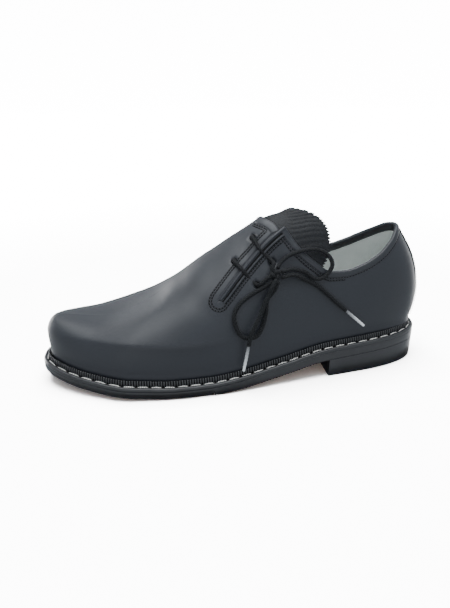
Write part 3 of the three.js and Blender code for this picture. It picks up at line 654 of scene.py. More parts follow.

# %% [markdown]
# A lace is braided from strands, and sewing thread is twisted. Strands made one by one would take thousands
# of faces for a few millimetres, so two sets of crossing sine waves on the tube's uv stand for them: one runs
# up where the other goes down, and the higher of the two is on top. Where they dip the colour is darker, as
# painted shade.


# %% Cords and threads
def braid(name, colour, rough, strands, pitch, depth):
    """Braided cord on a tube's uv: two sets of crossing strands, one up where the other goes down, with
    painted shade where they dip.
    """
    f = Finish(name, Sheen_Weight=0.03, Sheen_Roughness=0.5, Specular_IOR_Level=0.2)
    around, run = f.uv()
    turn, step = around * (2 * math.pi * strands), run * (2 * math.pi / pitch)
    height = f.math("MAXIMUM", f.math("SINE", turn + step), f.math("SINE", turn - step))
    fuzz = f.noise(5200.0, 2.0, 0.6)
    # Darker where the strands dip: painted shade between them.
    shade = f.ramp(height * 0.5 + 0.5, (0.35, [c * 0.5 for c in colour]), (0.95, [c * 1.3 for c in colour]))
    f.set(Base_Color=shade, Roughness=rough + 0.1 * fuzz)
    return f.relief(height * 0.8 + fuzz * 0.2, depth, 0.6)


lace_cord = braid("black_lace", (0.0055, 0.006, 0.007), 0.62, 5, 2.6, 0.00025)
white_thread = braid("white_thread", (0.72, 0.71, 0.67), 0.6, 2, 1.4, 0.00015)
black_thread = Finish("black_thread", Base_Color=(0.02, 0.021, 0.024, 1.0), Roughness=0.5)
black_thread.relief(black_thread.noise(5000.0, 2.0), 0.00008, 0.5)
# Near-black finish for seam lines, the flap's grooves, the hole rims and the rand's grooves: painted shade of
# pressed hollows.
painted_pressed_shade = Finish("painted_pressed_shade", Base_Color=(0.003, 0.003, 0.0035, 1.0), Roughness=0.7,
                      Specular_IOR_Level=0.15)


TIP = 20.0


def film():
    """Clear shrunk film on the lace's end: the cord shows through at its start, its tip is milky."""
    f = Finish("clear_tip", Roughness=0.2, IOR=1.5)
    creases = f.noise(900.0, 3.0)
    _, run = f.uv()
    milky = run * (1 / TIP) + 0.5 * creases - 0.2
    f.set(Base_Color=f.ramp(milky, (0.05, (0.10, 0.10, 0.105)), (0.95, (0.80, 0.82, 0.83))),
          Roughness=0.14 + 0.2 * creases)
    return f.relief(creases, 0.0001, 0.4)


clear_tip = film()

# %% [markdown]
# The bow. A round lace of 3 mm leaves the knot in two loops and two ends, and lies on the outer flap under
# its own weight. A simulated lace would come to rest somewhere else each time, so each is a tube along a
# smooth route through a few points. The knot's ports, from which they leave, are worked out from its place on
# the flap, with angles counted from the heel's side upwards.

# %% Knot, loops and ends
KNOT, KNOT_CLEARANCE = 8.2, 1.0
KNOT_S, KNOT_CLIMB, KNOT_OUT = 0.412, 0.438, 5.4
knot_turn = float(turn_at(KNOT_S))
knot_out = normal(knot_turn, KNOT_CLIMB)
knot_centre = bare_last(knot_turn, KNOT_CLIMB) + KNOT_OUT * knot_out
knot_back = unit(np.array([-1.0, 0.0, 0.0]) + knot_out[0] * knot_out)
knot_up = np.cross(knot_back, knot_out)
knot_up = knot_up if knot_up[2] > 0 else -knot_up


def port(degrees, outward=0.0):
    """Where a cord leaves the knot: an angle in the knot's plane and one away from the flap."""
    a, o = np.radians([degrees, outward])
    way = (np.cos(a) * knot_back + np.sin(a) * knot_up) * np.cos(o) + np.sin(o) * knot_out
    return knot_centre + (KNOT / 2 + KNOT_CLEARANCE) * way


UPPER_LOOP = [
    (115.9, 28.3, 90.5), (109.7, 25.8, 94.4), (99.2, 24.4, 97.2), (87.3, 24.0, 97.0), (80.5, 25.5, 93.0),
    (77.8, 27.6, 87.0), (81.1, 29.2, 80.8), (86.5, 30.4, 77.7), (92.2, 30.6, 78.5), (98.0, 29.8, 83.0),
    (107.8, 29.8, 85.8)]
LOWER_LOOP = [
    (128.3, 34.0, 75.6), (139.9, 34.0, 68.8), (146.5, 35.6, 63.8), (150.2, 38.0, 57.8), (149.7, 40.8, 49.8),
    (146.1, 42.4, 43.1), (141.8, 42.4, 40.9), (135.0, 41.2, 41.2), (130.7, 39.4, 46.7), (127.6, 37.4, 56.5),
    (126.5, 36.0, 66.4), (121.0, 35.6, 74.0)]
RIGHT_END = [
    (106.5, 31.8, 82.2), (97.8, 31.2, 77.7), (88.5, 31.2, 72.2), (79.7, 31.9, 64.2), (72.9, 32.0, 57.4),
    (66.8, 31.8, 51.8)]
LOWER_END = [
    (123.5, 38.9, 77.5), (125.8, 39.0, 72.0), (129.5, 40.2, 65.0), (133.0, 42.2, 57.0), (137.0, 44.2, 50.0),
    (140.0, 45.4, 43.5), (141.3, 45.4, 36.5)]


def free_cord(name, points):
    """A cord of the bow: a tube along a smooth route through its points, in place of its CAD solid."""
    line = route(points, 1.2)
    cord_piece = tube(name, line, LACE / 2, lace_cord, knot_out)
    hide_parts(name.replace("bow_", "lace_"))


TIP_RADIUS, TIP_WRINKLES = 1.2, 7


def tip(name, points):
    """The clear tip carries on straight from the lace's end: a wrinkled tube, slimmer at its own end."""
    before, last = np.asarray(points[-2:], float)
    share = np.linspace(0, 1, 25)[:, None]
    radius = TIP_RADIUS - 0.12 * np.sin(np.pi * share * TIP_WRINKLES) ** 2 - 0.25 * share ** 6
    piece = tube(name, last + unit(last - before) * (GAP + TIP * share), radius[:, 0], clear_tip, knot_out)
    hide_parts(name.replace("tip_", "aglet_"))
    return piece


right_route = [port(-23.0), *RIGHT_END]
lower_route = [port(-95.0, 48.0), *LOWER_END]
tip_right, tip_lower = tip("tip_right", right_route), tip("tip_lower", lower_route)
free_cord("bow_loop_upper", [port(67.0), *UPPER_LOOP, port(22.0)])
free_cord("bow_loop_lower", [port(-117.0), *LOWER_LOOP, port(-70.0)])
free_cord("bow_end_right", right_route)
free_cord("bow_end_lower", lower_route)

# %% Knot: the lace follows a trefoil
steps = np.linspace(0, 2 * np.pi, 97)
trefoil = np.stack([np.sin(steps) + 2 * np.sin(2 * steps), np.cos(steps) - 2 * np.cos(2 * steps),
                    -1.1 * np.sin(3 * steps)], -1) * 0.92
knot_line = knot_centre + trefoil @ np.stack([knot_back, knot_up, knot_out])
knot_piece = tube("bow_knot", knot_line, 1.45, lace_cord, knot_out)
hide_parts("lace_knot")

# %% [markdown]
# The upper is one sheet of calf pulled over the last. It could be sculpted, but then its edges would follow
# no exact line. Here its grid has columns that stand on the feather and lean back towards the slit, and rows
# from the feather to the top. The quarter's last column and the vamp's first one are the two sides of the
# slit, so they part above its rounded lower end.

# %% Upper's grid
ROW_COUNT = 96
shares = np.linspace(0, 1, ROW_COUNT)


def cells(foot, top, up_share, opening=0.0, shares=shares):
    """Turns and climbs of columns: each stands at a foot turn and leans to a top turn above the bend."""
    foot, top, up_share = (np.atleast_1d(np.asarray(v, float))[:, None] for v in (foot, top, up_share))
    lean = np.clip((shares - BEND) / (1 - BEND), 0, 1) ** BOW
    turn = foot + (top - foot) * lean
    climb = climb_at(station(top), up_share) * shares
    if opening:
        past = np.clip(shares - SLIT_START, 0, 1)
        fade = np.sqrt(np.clip(past / 0.035, 0, 1)) * (1 + 1.3 * past)
        turn = turn + fade * opening / (2 * np.pi * LENGTH * np.sin(2 * np.pi * turn))
    return turn, climb


def slit_line(opening):
    """The slit's middle (0) or a side of it: half the opening towards the toe, or the heel if negative."""
    return [a[0] for a in cells(turn_at(SLIT_FOOT), turn_at(SLIT_CORNER), CORNER_UP, opening)]


slit_turn, slit_climb = slit_line(0.0)
flap_turn, flap_climb = slit_line(-SLIT_WIDTH)
vamp_turn, vamp_climb = slit_line(SLIT_WIDTH)

# %% [markdown]
# Leather doesn't lie flat on the last. The flap's front edge is lifted by the laces, the vamp puckers at its
# holes, the sides have a few soft waves, and a stiffener under the toe draws an edge between its top and its
# wall. Each is a height over the last as a function of turn and climb, so they simply add up.

# %% How the leather stands off the last
SHOULDER = {
    "s": (0.52, 0.60, 0.70, 0.80, 0.90, 1.00),
    "height": (0.322, 0.318, 0.320, 0.314, 0.292, 0.268),
    "strength": (0.1, 1.0, 1.15, 1.05, 0.8, 0.7),
    "round": (0.8, 0.8, 0.8, 1.0, 1.6, 2.4),
}
SHOULDER_OUT, REACH_ABOVE, REACH_BELOW, REACH_WIDE = 2.8, 13.0, 7.0, 24.0
HEEL_OUT = 2.4
# Height, station, climb, width along and across a slanted axis (mm), slant (degrees).
PUCKERS = ((0.9, 0.499, 0.60, 9, 2.2, -48), (0.9, 0.445, 0.71, 9, 2.2, -48),
           (-0.8, 0.506, 0.575, 8, 2.0, -48), (-0.8, 0.452, 0.685, 8, 2.0, -48),
           (-0.7, 0.478, 0.65, 7, 3.0, -48))
WAVES = ((-1.2, 0.40, 0.50, 13, 6, 30), (0.8, 0.44, 0.36, 26, 12, 20), (-0.8, 0.56, 0.34, 26, 9, 50),
         (0.5, 0.30, 0.33, 24, 14, 0), (-0.5, 0.20, 0.40, 18, 14, 0))
HILL_DEPTH = 16.0


def hill(turn, climb, height, s, t, along_mm, across_mm, slant):
    """A soft hill at (s, t): a Gaussian with its own widths along and across a slanted axis."""
    middle = float(turn_at(s))
    e_turn, e_climb = slopes(middle, t)
    u, v = unit(e_turn), unit(e_climb - unit(e_turn) * (e_climb @ unit(e_turn)))
    a = np.radians(slant)
    away = bare_last(turn, climb) - bare_last(middle, t)
    x, y = away @ (np.cos(a) * u + np.sin(a) * v), away @ (-np.sin(a) * u + np.cos(a) * v)
    deep = away @ normal(middle, t)
    return height * np.exp(-(x / along_mm) ** 2 - (y / across_mm) ** 2 - (deep / HILL_DEPTH) ** 4)


def shoulder(turn, climb):
    """The stiff toe's edge between top and wall: a tent with a round ridge along one height."""
    s = station(turn)
    height = INSTEP * np.interp(s, SHOULDER["s"], SHOULDER["height"])
    ridge_climb = climb_at(s, height / (INSTEP * along(LAST, "rise", s) + WELT - GAP))
    ridge = bare_last(turn, ridge_climb)
    far = np.linalg.norm(bare_last(turn, climb) - ridge, axis=-1)
    soft, strength = (np.interp(s, SHOULDER["s"], SHOULDER[column]) for column in ("round", "strength"))
    reach = np.where(climb > ridge_climb, REACH_ABOVE, REACH_BELOW)
    tent = np.exp(-(np.sqrt(far ** 2 + soft ** 2) - soft) / reach)
    return SHOULDER_OUT * strength * (tent - 0.25 * np.exp(-(far / REACH_WIDE) ** 2))


def off(turn, climb):
    """How far the leather stands off the last: lifted flap edge, hills, round heel and the toe's edge."""
    turn, climb = np.broadcast_arrays(np.asarray(turn, float), np.asarray(climb, float))
    edge = np.interp(climb, slit_climb, slit_turn)
    share = np.interp(climb, slit_climb, shares)
    near = np.clip(1 - (edge - turn) / FLAP_REACH, 0, 1)
    high = np.clip((share - SLIT_START) / (1 - SLIT_START), 0, 1)
    flap = (turn < edge) & (turn >= 0)
    lifted = np.where(flap, FLAP_LIFT * near * near * np.sin(high * np.pi / 2), 0)
    hills = sum(hill(turn, climb, *row) for row in PUCKERS + WAVES)
    heel = np.exp(-(station(turn) / 0.09) ** 2 - ((climb - 0.09) / 0.13) ** 2) * np.clip(climb / 0.04, 0, 1)
    return lifted + hills + HEEL_OUT * heel + shoulder(turn, climb)


def on_upper(turn, climb, out=0.0):
    """Point of the upper's face, or a distance out from it. Both sides meet at the crest, at their mean."""
    turn, climb, out = np.broadcast_arrays(*(np.asarray(v, float) for v in (turn, climb, out)))
    points = bare_last(turn, climb) + (off(turn, climb) + out)[..., None] * normal(turn, climb)
    crest = climb > 1 - 1e-6
    if crest.any():
        t, c = 1 - turn[crest], climb[crest]
        other_side = bare_last(t, c) + (off(t, c) + out[crest])[..., None] * normal(t, c)
        points[crest] = (points[crest] + other_side) / 2
    return points


# %% Columns and rows of the upper
FLAP_COLUMNS, VAMP_COLUMNS, FRONT_COLUMNS, QUARTER_COLUMNS = 150, 14, 120, 100
FLAP_PULL = 0.9


def quarter(side, foot, top, k, rows=shares):
    """Columns of the outer or the inner quarter, at shares k of the way from the heel to its front."""
    top_turn = between(0, top, k)
    return cells(between(0, foot, k), top_turn, along(TOPLINE, side, station(top_turn)), shares=rows)


def mirrored(block):
    """The same columns on the inner side, from front to back."""
    return 1 - block[0][::-1], block[1][::-1]


def upper_blocks():
    """The five blocks of columns: flap and quarter, vamp edge, front outer, front inner, inner quarter."""
    k = np.linspace(0, 1, FLAP_COLUMNS)
    flap = quarter("lateral", SLIT_FOOT, SLIT_CORNER, k)
    pull = np.clip((k[:, None] - FLAP_PULL) / (1 - FLAP_PULL), 0, 1) ** 2
    flap[0][:-1] += ((flap_turn - slit_turn) * pull)[:-1]
    flap[0][-1], flap[1][-1] = flap_turn, flap_climb
    k = np.linspace(0, 1, VAMP_COLUMNS)
    vamp = cells(between(SLIT_FOOT, LATERAL_FOOT, k), between(SLIT_CORNER, CREST, k),
                 CORNER_UP + (1 - CORNER_UP) * k ** SWEEP)
    vamp[0][:] += (vamp_turn - slit_turn) * (1 - k[:, None]) ** 2
    k = np.linspace(0, 1, FRONT_COLUMNS)
    ridge = between(CREST, 1, k)
    flat = np.clip((station(ridge)[:, None] - 0.5) / 0.3, 0, 1)
    closer = shares + (shares * shares * (3 - 2 * shares) - shares) * flat
    outer = cells(between(LATERAL_FOOT, 1, k), ridge, 1.0, shares=closer)
    inner = cells(between(MEDIAL_FOOT, 1, k), ridge, 1.0, shares=closer)
    back = quarter("medial", MEDIAL_FOOT, CREST, np.linspace(0, 1, QUARTER_COLUMNS))
    return [flap, vamp, outer, mirrored(inner), mirrored(back)]


def sheet_of(blocks):
    """Points and faces of the blocks side by side."""
    points, faces, count = [], [], 0
    for turn, climb in blocks:
        points.append(on_upper(turn, climb).reshape(-1, 3))
        faces.append(grid_faces(*turn.shape) + count)
        count += turn.size
    return np.concatenate(points), np.concatenate(faces)


# %% Lace holes and the upper's piece
HOLES = {"vamp_lower": (0.512, 0.637), "vamp_upper": (0.459, 0.752),
         "flap_lower": (0.455, 0.419), "flap_upper": (0.414, 0.511)}
HOLE_DEPTH = 6.0


def punched(points, faces, radius):
    """Takes the faces inside each lace hole out and draws the hole's edge to a true circle."""
    keep = np.ones(len(faces), bool)
    for s, t in HOLES.values():
        turn = float(turn_at(s))
        axis, centre = normal(turn, t), on_upper(turn, t)
        away = points - centre
        depth = away @ axis
        flat = away - depth[:, None] * axis
        far = np.linalg.norm(flat, axis=1)
        close = np.abs(depth) < HOLE_DEPTH
        inside = (far < radius) & close
        cut = inside[faces].any(1)
        at_cut, at_kept = np.zeros(len(points), bool), np.zeros(len(points), bool)
        at_cut[faces[cut]] = True
        at_kept[faces[~cut]] = True
        border = at_cut & at_kept & ~inside & close
        points[border] += flat[border] * (radius / far[border] - 1)[:, None]
        keep &= ~cut
    return points, faces[keep]


blocks = upper_blocks()
upper_points, upper_faces = punched(*sheet_of(blocks), HOLE / 2)
upper_piece = make("upper_leather", upper_points, upper_faces, black_calf, merge=0.001,
                   extra=(lining, edge_calf))
wall(upper_piece, WALL, lining=1, rim_finish=2)
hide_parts("upper")
print("upper, mm:", np.round(upper_points.max(0) - upper_points.min(0), 1).tolist())

# %% [markdown]
# Edges of the upper. The collar, the flap's top and the vamp's top are bound with a thin strip folded over
# the edge. It is a profile carried along the edge, from the outside over the top to the lining. Paths on the
# upper are lists of turn and climb, and `beside` moves one sideways in the leather, so a seam or a strip
# keeps its distance from an edge on any curve.


# %% Bound edges
NEAR_CREST, SIDE_STEPS = 0.9995, 6


def steps_for(move, by_turn, by_climb):
    """Steps of turn and climb that add up to a move in the surface: two equations, solved for each row."""
    aa, ab, bb = (by_turn ** 2).sum(-1), (by_turn * by_climb).sum(-1), (by_climb ** 2).sum(-1)
    pa, pb = (move * by_turn).sum(-1), (move * by_climb).sum(-1)
    det = aa * bb - ab * ab
    return (pa * bb - pb * ab) / det, (pb * aa - pa * ab) / det


def beside(path, distance):
    """A path on the upper moved sideways in the surface by a distance in mm, in a few small steps. On a top
    edge a positive distance goes down into the leather."""
    turn, climb = path[0], np.minimum(path[1], NEAR_CREST)
    way = unit(np.gradient(bare_last(turn, climb), axis=0))
    move = unit(np.cross(normal(turn, climb), way)) * distance / SIDE_STEPS
    for _ in range(SIDE_STEPS):
        turn_step, climb_step = steps_for(move, *slopes(turn, climb))
        turn, climb = turn + turn_step, np.minimum(climb + climb_step, NEAR_CREST)
    return turn, climb


def resampled(path, spacing):
    """The same path on the upper at even steps."""
    run = run_along(bare_last(*path))
    at = np.linspace(0, run[-1], max(2, int(run[-1] / spacing) + 1))
    return tuple(np.interp(at, run, column) for column in path)


# Each row is a share of the way down the strip and a height in mm over the leather's face.
BINDING_OUTSIDE = ((1.0, 0.02), (0.97, 0.35), (0.85, 0.55), (0.5, 0.65), (0.2, 0.55), (0.05, 0.495))
BINDING_INSIDE = ((0.1, 0.5), (0.5, 0.55), (0.9, 0.4), (1.0, 0.05))
BINDING_ROUND = 0.45


def bound_edge(name, path, width, inside):
    """A strip folded over an edge: width mm down outside, over the wall, inside mm down at the lining."""
    turn, climb = path[0], np.clip(path[1], 0, 0.9999)
    rows = [on_upper(*beside((turn, climb), width * down), out) for down, out in BINDING_OUTSIDE]
    top, n = on_upper(turn, climb), normal(turn, climb)
    over = unit(top - on_upper(*beside((turn, climb), 1.0)))
    for angle in np.linspace(0.15, np.pi - 0.15, 7):
        way = np.cos(angle) * n + 0.75 * np.sin(angle) * over
        rows.append(top - n * WALL / 2 + (WALL / 2 + BINDING_ROUND) * way)
    rows += [on_upper(*beside((turn, climb), inside * down), -WALL - out) for down, out in BINDING_INSIDE]
    points = np.stack(rows, 1)
    piece = make(name, points, grid_faces(*points.shape[:2]), edge_calf)


lateral_top, vamp_top, medial_top = ((blocks[b][0][:, -1], blocks[b][1][:, -1]) for b in (0, 1, 4))
for name, path, width, inside in (("binding_outer", lateral_top, 3.4, 2.7),
                                  ("binding_inner", medial_top, 3.4, 6.0),
                                  ("binding_vamp", vamp_top, 5.2, 4.0)):
    bound_edge(name, resampled(path, 0.9), width, inside)

# %% [markdown]
# Seams are sewn: each stitch is a small capsule that sinks into the leather at both ends. Hundreds of them
# come from one base shape, turned and placed with arrays.


# %% Stitches
STITCH_RINGS, STITCH_SIDES = 5, 6


def capsule():
    """A unit stitch along x, round in section, whose ends dip under the surface."""
    u = np.linspace(0, np.pi, STITCH_RINGS)
    v = np.linspace(0, 2 * np.pi, STITCH_SIDES, endpoint=False)
    radius = np.sin(u) ** 0.6
    radius[[0, -1]] = 0.25
    points = np.stack(np.broadcast_arrays(
        -np.cos(u)[:, None] / 2, radius[:, None] * np.cos(v) / 2,
        radius[:, None] * np.sin(v) / 2 - (np.abs(np.cos(u)) ** 4)[:, None] * 0.5), -1)
    uv = np.stack(np.broadcast_arrays(v[None] / (2 * np.pi), -np.cos(u)[:, None] / 2), -1)
    faces = grid_faces(STITCH_RINGS, STITCH_SIDES, wrap_columns=True)[:, ::-1]
    return points.reshape(-1, 3), faces, uv.reshape(-1, 2)


def sewn(name, line, outward, pitch, share, thick, finish):
    """Stitches on a line, one to each pitch, which may vary: each fills a share of it, thick across."""
    run = run_along(line)
    pitch = np.broadcast_to(np.asarray(pitch, float), len(run))
    passed = np.append(0, np.cumsum(np.diff(run) / pitch[1:]))
    count = max(1, int(passed[-1]))
    at = np.interp((np.arange(count) + 0.5) / count * passed[-1], passed, run)
    centre, n, way = (picked(rows, run, at) for rows in (line, outward, np.gradient(line, axis=0)))
    n, way = unit(n), unit(way)
    shape, faces, uv = capsule()
    dash = share * np.interp(at, run, pitch)
    size = shape * np.stack([dash, 0 * dash + thick, 0 * dash + thick], -1)[:, None]
    points = centre[:, None] + np.einsum("nvk,nkd->nvd", size, np.stack([way, unit(np.cross(n, way)), n], 1))
    all_faces = (faces[None] + (np.arange(count) * len(shape))[:, None, None]).reshape(-1, 4)
    piece = make(name, points, all_faces, finish, uv=np.tile(uv * [1.0, float(dash.mean())], (count, 1)))


SEAM_PITCH, SEAM_SHARE, SEAM_THREAD, SEAM_OUT = 2.2, 0.74, 0.42, 0.18
LINE_ACROSS = ((-0.5, 0.0), (-0.25, 0.12), (0.0, 0.14), (0.25, 0.12), (0.5, 0.0))


def pressed(name, path, width, out=0.0):
    """The dark line that a seam or a fold presses into the leather, as painted shade: a narrow near-black
    band along a path.
    """
    points = np.stack([on_upper(*beside(path, width * side), out + up) for side, up in LINE_ACROSS], 1)
    piece = make(name, points, grid_faces(*points.shape[:2])[:, ::-1], painted_pressed_shade)


def seam(name, path, width=1.05, out=0.0):
    """A row of stitches along a path on the upper, sunk in its pressed line, which is width mm wide and drawn
    as a near-black band of painted shade.
    """
    turn, climb = resampled(path, 0.8)
    climb = np.clip(climb, 0, 0.9985)
    pressed(name + "_line", (turn, climb), width, out)
    line = on_upper(turn, climb, out + SEAM_OUT)
    sewn(name, line, normal(turn, climb), SEAM_PITCH, SEAM_SHARE, SEAM_THREAD, black_thread)


# %% Seams of the upper
open_rows = shares > SLIT_START
vamp_edge = (vamp_turn[open_rows], vamp_climb[open_rows])
flap_edge = (flap_turn[open_rows], flap_climb[open_rows])


def slit_row(distance):
    """A path round the slit: down the vamp's side, along half a circle and up the flap's side."""
    vamp_side = beside(resampled([a[::-1] for a in vamp_edge], 0.8), -distance)
    flap_side = beside(resampled(flap_edge, 0.8), -distance)
    low = float(slit_turn[open_rows][0]), float(slit_climb[open_rows][0])
    p = bare_last(vamp_side[0][-1], vamp_side[1][-1]) - bare_last(*low)
    q = bare_last(flap_side[0][0], flap_side[1][0]) - bare_last(*low)
    half = (p - q) / 2
    down = unit(np.cross(normal(*low), half)) * np.linalg.norm(half)
    down = down if down[2] < 0 else -down
    angle = np.linspace(0, np.pi, 16)[1:-1, None]
    steps = steps_for((p + q) / 2 + np.cos(angle) * half + np.sin(angle) * down, *slopes(*low))
    return [np.concatenate([vamp_side[i], low[i] + steps[i], flap_side[i]]) for i in (0, 1)]


def shortened(path, first):
    """A path without its first mm, at steps of 0.4 mm."""
    return [a[int(round(first / 0.4)):] for a in resampled(path, 0.4)]


TOP_ROWS, SLIT_ROWS, FLAP_TOP_ROW, COLLAR_ROW = (6.2, 7.8), (4.9, 6.5), 5.7, 4.1
FLAP_TOP_FROM = 110
for number, (top_row, side_row) in enumerate(zip(TOP_ROWS, SLIT_ROWS)):
    seam(f"seam_slit_{number}", shortened(slit_row(side_row), top_row))
    seam(f"seam_vamp_{number}", beside(shortened(vamp_top, side_row + 0.8), top_row))
seam("seam_flap_top", beside(resampled([a[FLAP_TOP_FROM:] for a in lateral_top], 0.9), FLAP_TOP_ROW))
seam("seam_collar_outer", beside(resampled(lateral_top, 0.9), COLLAR_ROW), 0.6)
seam("seam_collar_inner", beside(resampled(medial_top, 0.9), COLLAR_ROW), 0.6)

# %% [markdown]
# The slit's two edges are turned in, so they are round, and the flap has a low ridge between two pressed
# grooves beside its edge; the grooves are near-black bands of painted shade. Tubes half sunk in the leather
# give the round edges and the ridge, because they stay smooth where the grid is coarse. The lace holes are
# plain punched holes with a pressed rim, painted as a dark ring of shade.


# %% Slit edges
def sunk_tube(name, path, sink, radius, edge):
    """A tube along a path, sunk below the leather's face; its section starts at the edge's own normal."""
    middle = len(edge[0]) // 2
    outward = normal(float(edge[0][middle]), float(edge[1][middle]))
    tube(name, even(on_upper(*path, -sink), 1.2), radius, edge_calf, outward)


flap_path = resampled(flap_edge, 0.8)
sunk_tube("flap_edge_roll", flap_edge, 0.3, 1.15, flap_edge)
sunk_tube("vamp_edge_fold", vamp_edge, 0.75, 0.85, vamp_edge)
# Two near-black bands beside the flap's edge: painted shade of its grooves.
pressed("flap_groove", beside(flap_path, -2.1), 1.5)
pressed("flap_groove_rear", beside(flap_path, -4.3), 0.9)
sunk_tube("flap_ridge", beside(flap_path, -3.2), 0.55, 1.0, flap_edge)

# %% Punched holes
RIM_SIDES, RIM_SECTION = 28, 8


def eyelet(name, s, t):
    """The pressed rim of a punched hole as painted shade: a thin flat near-black ring that follows the
    leather round it.
    """
    turn = float(turn_at(s))
    n, centre = normal(turn, t), on_upper(turn, t)
    u = unit(np.cross(n, [0.0, 0.0, 1.0]))
    around = np.linspace(0, 2 * np.pi, RIM_SIDES, endpoint=False)[:, None, None]
    section = np.linspace(0, 2 * np.pi, RIM_SECTION, endpoint=False)[None, :, None]
    way = np.cos(around) * u + np.sin(around) * np.cross(n, u)
    points = centre + way * (HOLE / 2 + 0.1 + 0.3 * np.cos(section)) + n * (0.12 * np.sin(section) - 0.05)
    piece = make(name, points, grid_faces(RIM_SIDES, RIM_SECTION, True, True), painted_pressed_shade)


for name, (s, t) in HOLES.items():
    eyelet("hole_" + name, s, t)

# %% [markdown]
# The lace between its holes: it comes up through a hole of the vamp, crosses the slit's edge, dives under
# the flap, comes up through the flap's hole and runs into the knot. The two run in the same way, one above
# the other, and they stand for the bars and strands of the frame.


# %% Laces through the holes
def laced(name, stops, port_degrees, *nodes):
    """A lace through stops (station, climb, distance off the last) and on into the knot."""
    s, t, out = np.array(stops).T
    points = bare_last(turn_at(s), t) + out[:, None] * normal(turn_at(s), t)
    into = port(port_degrees)
    line = route([*points, into, knot_centre + 0.3 * (into - knot_centre)], 1.0)
    piece = tube(name, line, LACE / 2, lace_cord, knot_out + 0.02)
    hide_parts(*nodes)


laced("lace_lower", ((0.522, 0.690, -4.2), (0.515, 0.663, -2.4), (0.512, 0.638, 0.6), (0.507, 0.607, 2.0),
                     (0.4978, 0.566, 2.2), (0.488, 0.527, 1.9), (0.479, 0.492, -0.2), (0.470, 0.462, -1.0),
                     (0.462, 0.436, -0.6), (0.456, 0.419, 1.2), (0.449, 0.415, 4.0)), -165.0,
      "lace_bar_lower", "lace_strand_lower")
laced("lace_upper", ((0.466, 0.800, -4.2), (0.461, 0.778, -2.4), (0.459, 0.753, 0.6), (0.455, 0.713, 2.0),
                     (0.4488, 0.659, 2.2), (0.4425, 0.612, 1.9), (0.435, 0.580, -0.2), (0.427, 0.556, -0.8),
                     (0.419, 0.530, 0.0), (0.4145, 0.511, 2.6), (0.413, 0.497, 4.6)), 112.0,
      "lace_bar_upper", "lace_strand_upper")

# %% [markdown]
# The tongue is a thick pebbled piece under the vamp and the flap. Its head stands up round over the instep,
# with a pinked edge and fine level creases. It is one sheet over the last, from the outer to the inner side
# and from front to back, and the teeth are cut by moving its last rows in and out as a saw tooth of the
# distance along the edge.

# %% Tongue
TONGUE_EDGES = {
    "s": (0.25, 0.40, 0.50, 0.61),
    "lateral": (0.68, 0.62, 0.60, 0.67),
    "medial": (-0.06, 0.0, 0.30, 0.45),
}
TONGUE_REAR, TONGUE_ROUND, TONGUE_RISE, TONGUE_CURL, TONGUE_CLEARANCE = 0.246, 0.12, -0.8, 4.5, 1.3
TONGUE, TONGUE_COLUMNS, TONGUE_ROWS = 1.8, 341, 120
CREASE, CREASE_RATE, CREASE_LEAN = 0.09, 150, 0.35
TOOTH_PITCH, TOOTH_DEPTH, TOOTH_FADE = 2.4, 2.1, 4.5


def ease(v):
    """A soft step from 0 to 1."""
    return np.sin(np.clip(v, 0, 1) * np.pi / 2) ** 2


def tongue_points(across, k):
    """Across runs from the outer (0) to the inner side (1), k from the front end to the round rear end."""
    swing = 2 * across - 1
    end = TONGUE_REAR + TONGUE_ROUND * (1 - np.sqrt(np.maximum(1 - swing ** 2, 0)))
    s = TONGUE_EDGES["s"][-1] + (end - TONGUE_EDGES["s"][-1]) * np.sin(k * np.pi / 2)
    lateral, medial = along(TONGUE_EDGES, "lateral", s), along(TONGUE_EDGES, "medial", s)
    aside = lateral - (lateral + medial) * across
    turn = np.where(aside < 0, 1 - turn_at(s), turn_at(s))
    rise = TONGUE_RISE * ease((0.39 - s) / 0.07) * ease((0.36 - aside) / 0.2)
    creases = CREASE * np.sin((aside + CREASE_LEAN * s) * CREASE_RATE + 1.5 * np.sin(s * 50))
    creases = creases * ease((0.37 - s) / 0.03) * ease((s - 0.25) / 0.03)
    curl = TONGUE_CURL * np.clip((0.35 - aside) / 0.35, 0, 1) ** 2 * ease((0.39 - s) / 0.06)
    out = rise - WALL - TONGUE_CLEARANCE + creases + curl
    climb = 1 - np.abs(aside)
    return bare_last(turn, climb) + out[..., None] * normal(turn, climb)


def pinked(grid, run, edge, inner, fade):
    """Cuts saw teeth into one edge: rows near it move along the way from an inner row to the edge."""
    tooth = 1 - 2 * np.abs(np.mod(run / TOOTH_PITCH, 1) - 0.5)
    near = np.clip(1 - np.linalg.norm(grid - edge, axis=-1) / TOOTH_FADE, 0, 1)
    notch = (tooth - 0.7) * TOOTH_DEPTH * near * fade
    return grid + notch[..., None] * unit(edge - inner)


even_arc = (1 - np.cos(np.linspace(0, np.pi, TONGUE_COLUMNS))) / 2
across, k = np.meshgrid(even_arc, np.linspace(0, 1, TONGUE_ROWS), indexing="ij")
whole = tongue_points(across, k)
end_run = run_along(whole[:, -1])
side_run = end_run[-1] + run_along(whole[-1, ::-1])[::-1]
tongue_grid = pinked(whole, end_run[:, None], whole[:, -1:], whole[:, -18:-17], 1.0)
tongue_grid = pinked(tongue_grid, side_run[None], whole[-1:], whole[-30:-29], np.clip(k / 0.05 - 9, 0, 1))
tongue_faces = grid_faces(TONGUE_COLUMNS, TONGUE_ROWS)[:, ::-1]
tongue_piece = make("tongue_leather", tongue_grid, tongue_faces, tongue_leather, merge=0.005)
wall(tongue_piece, TONGUE)
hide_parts("tongue")

# %% [markdown]
# Under the upper: the welt carries the stitches in a channel between its lip and the rand, the outsole and
# its rubber half sole lie below, and the heel block stands behind. They could be cut from boxes with
# booleans, but all of them follow one rim, so each goes round it as a profile of insets and heights.

# %% Rows round the sole
dense = np.linspace(0, 1, 4001)


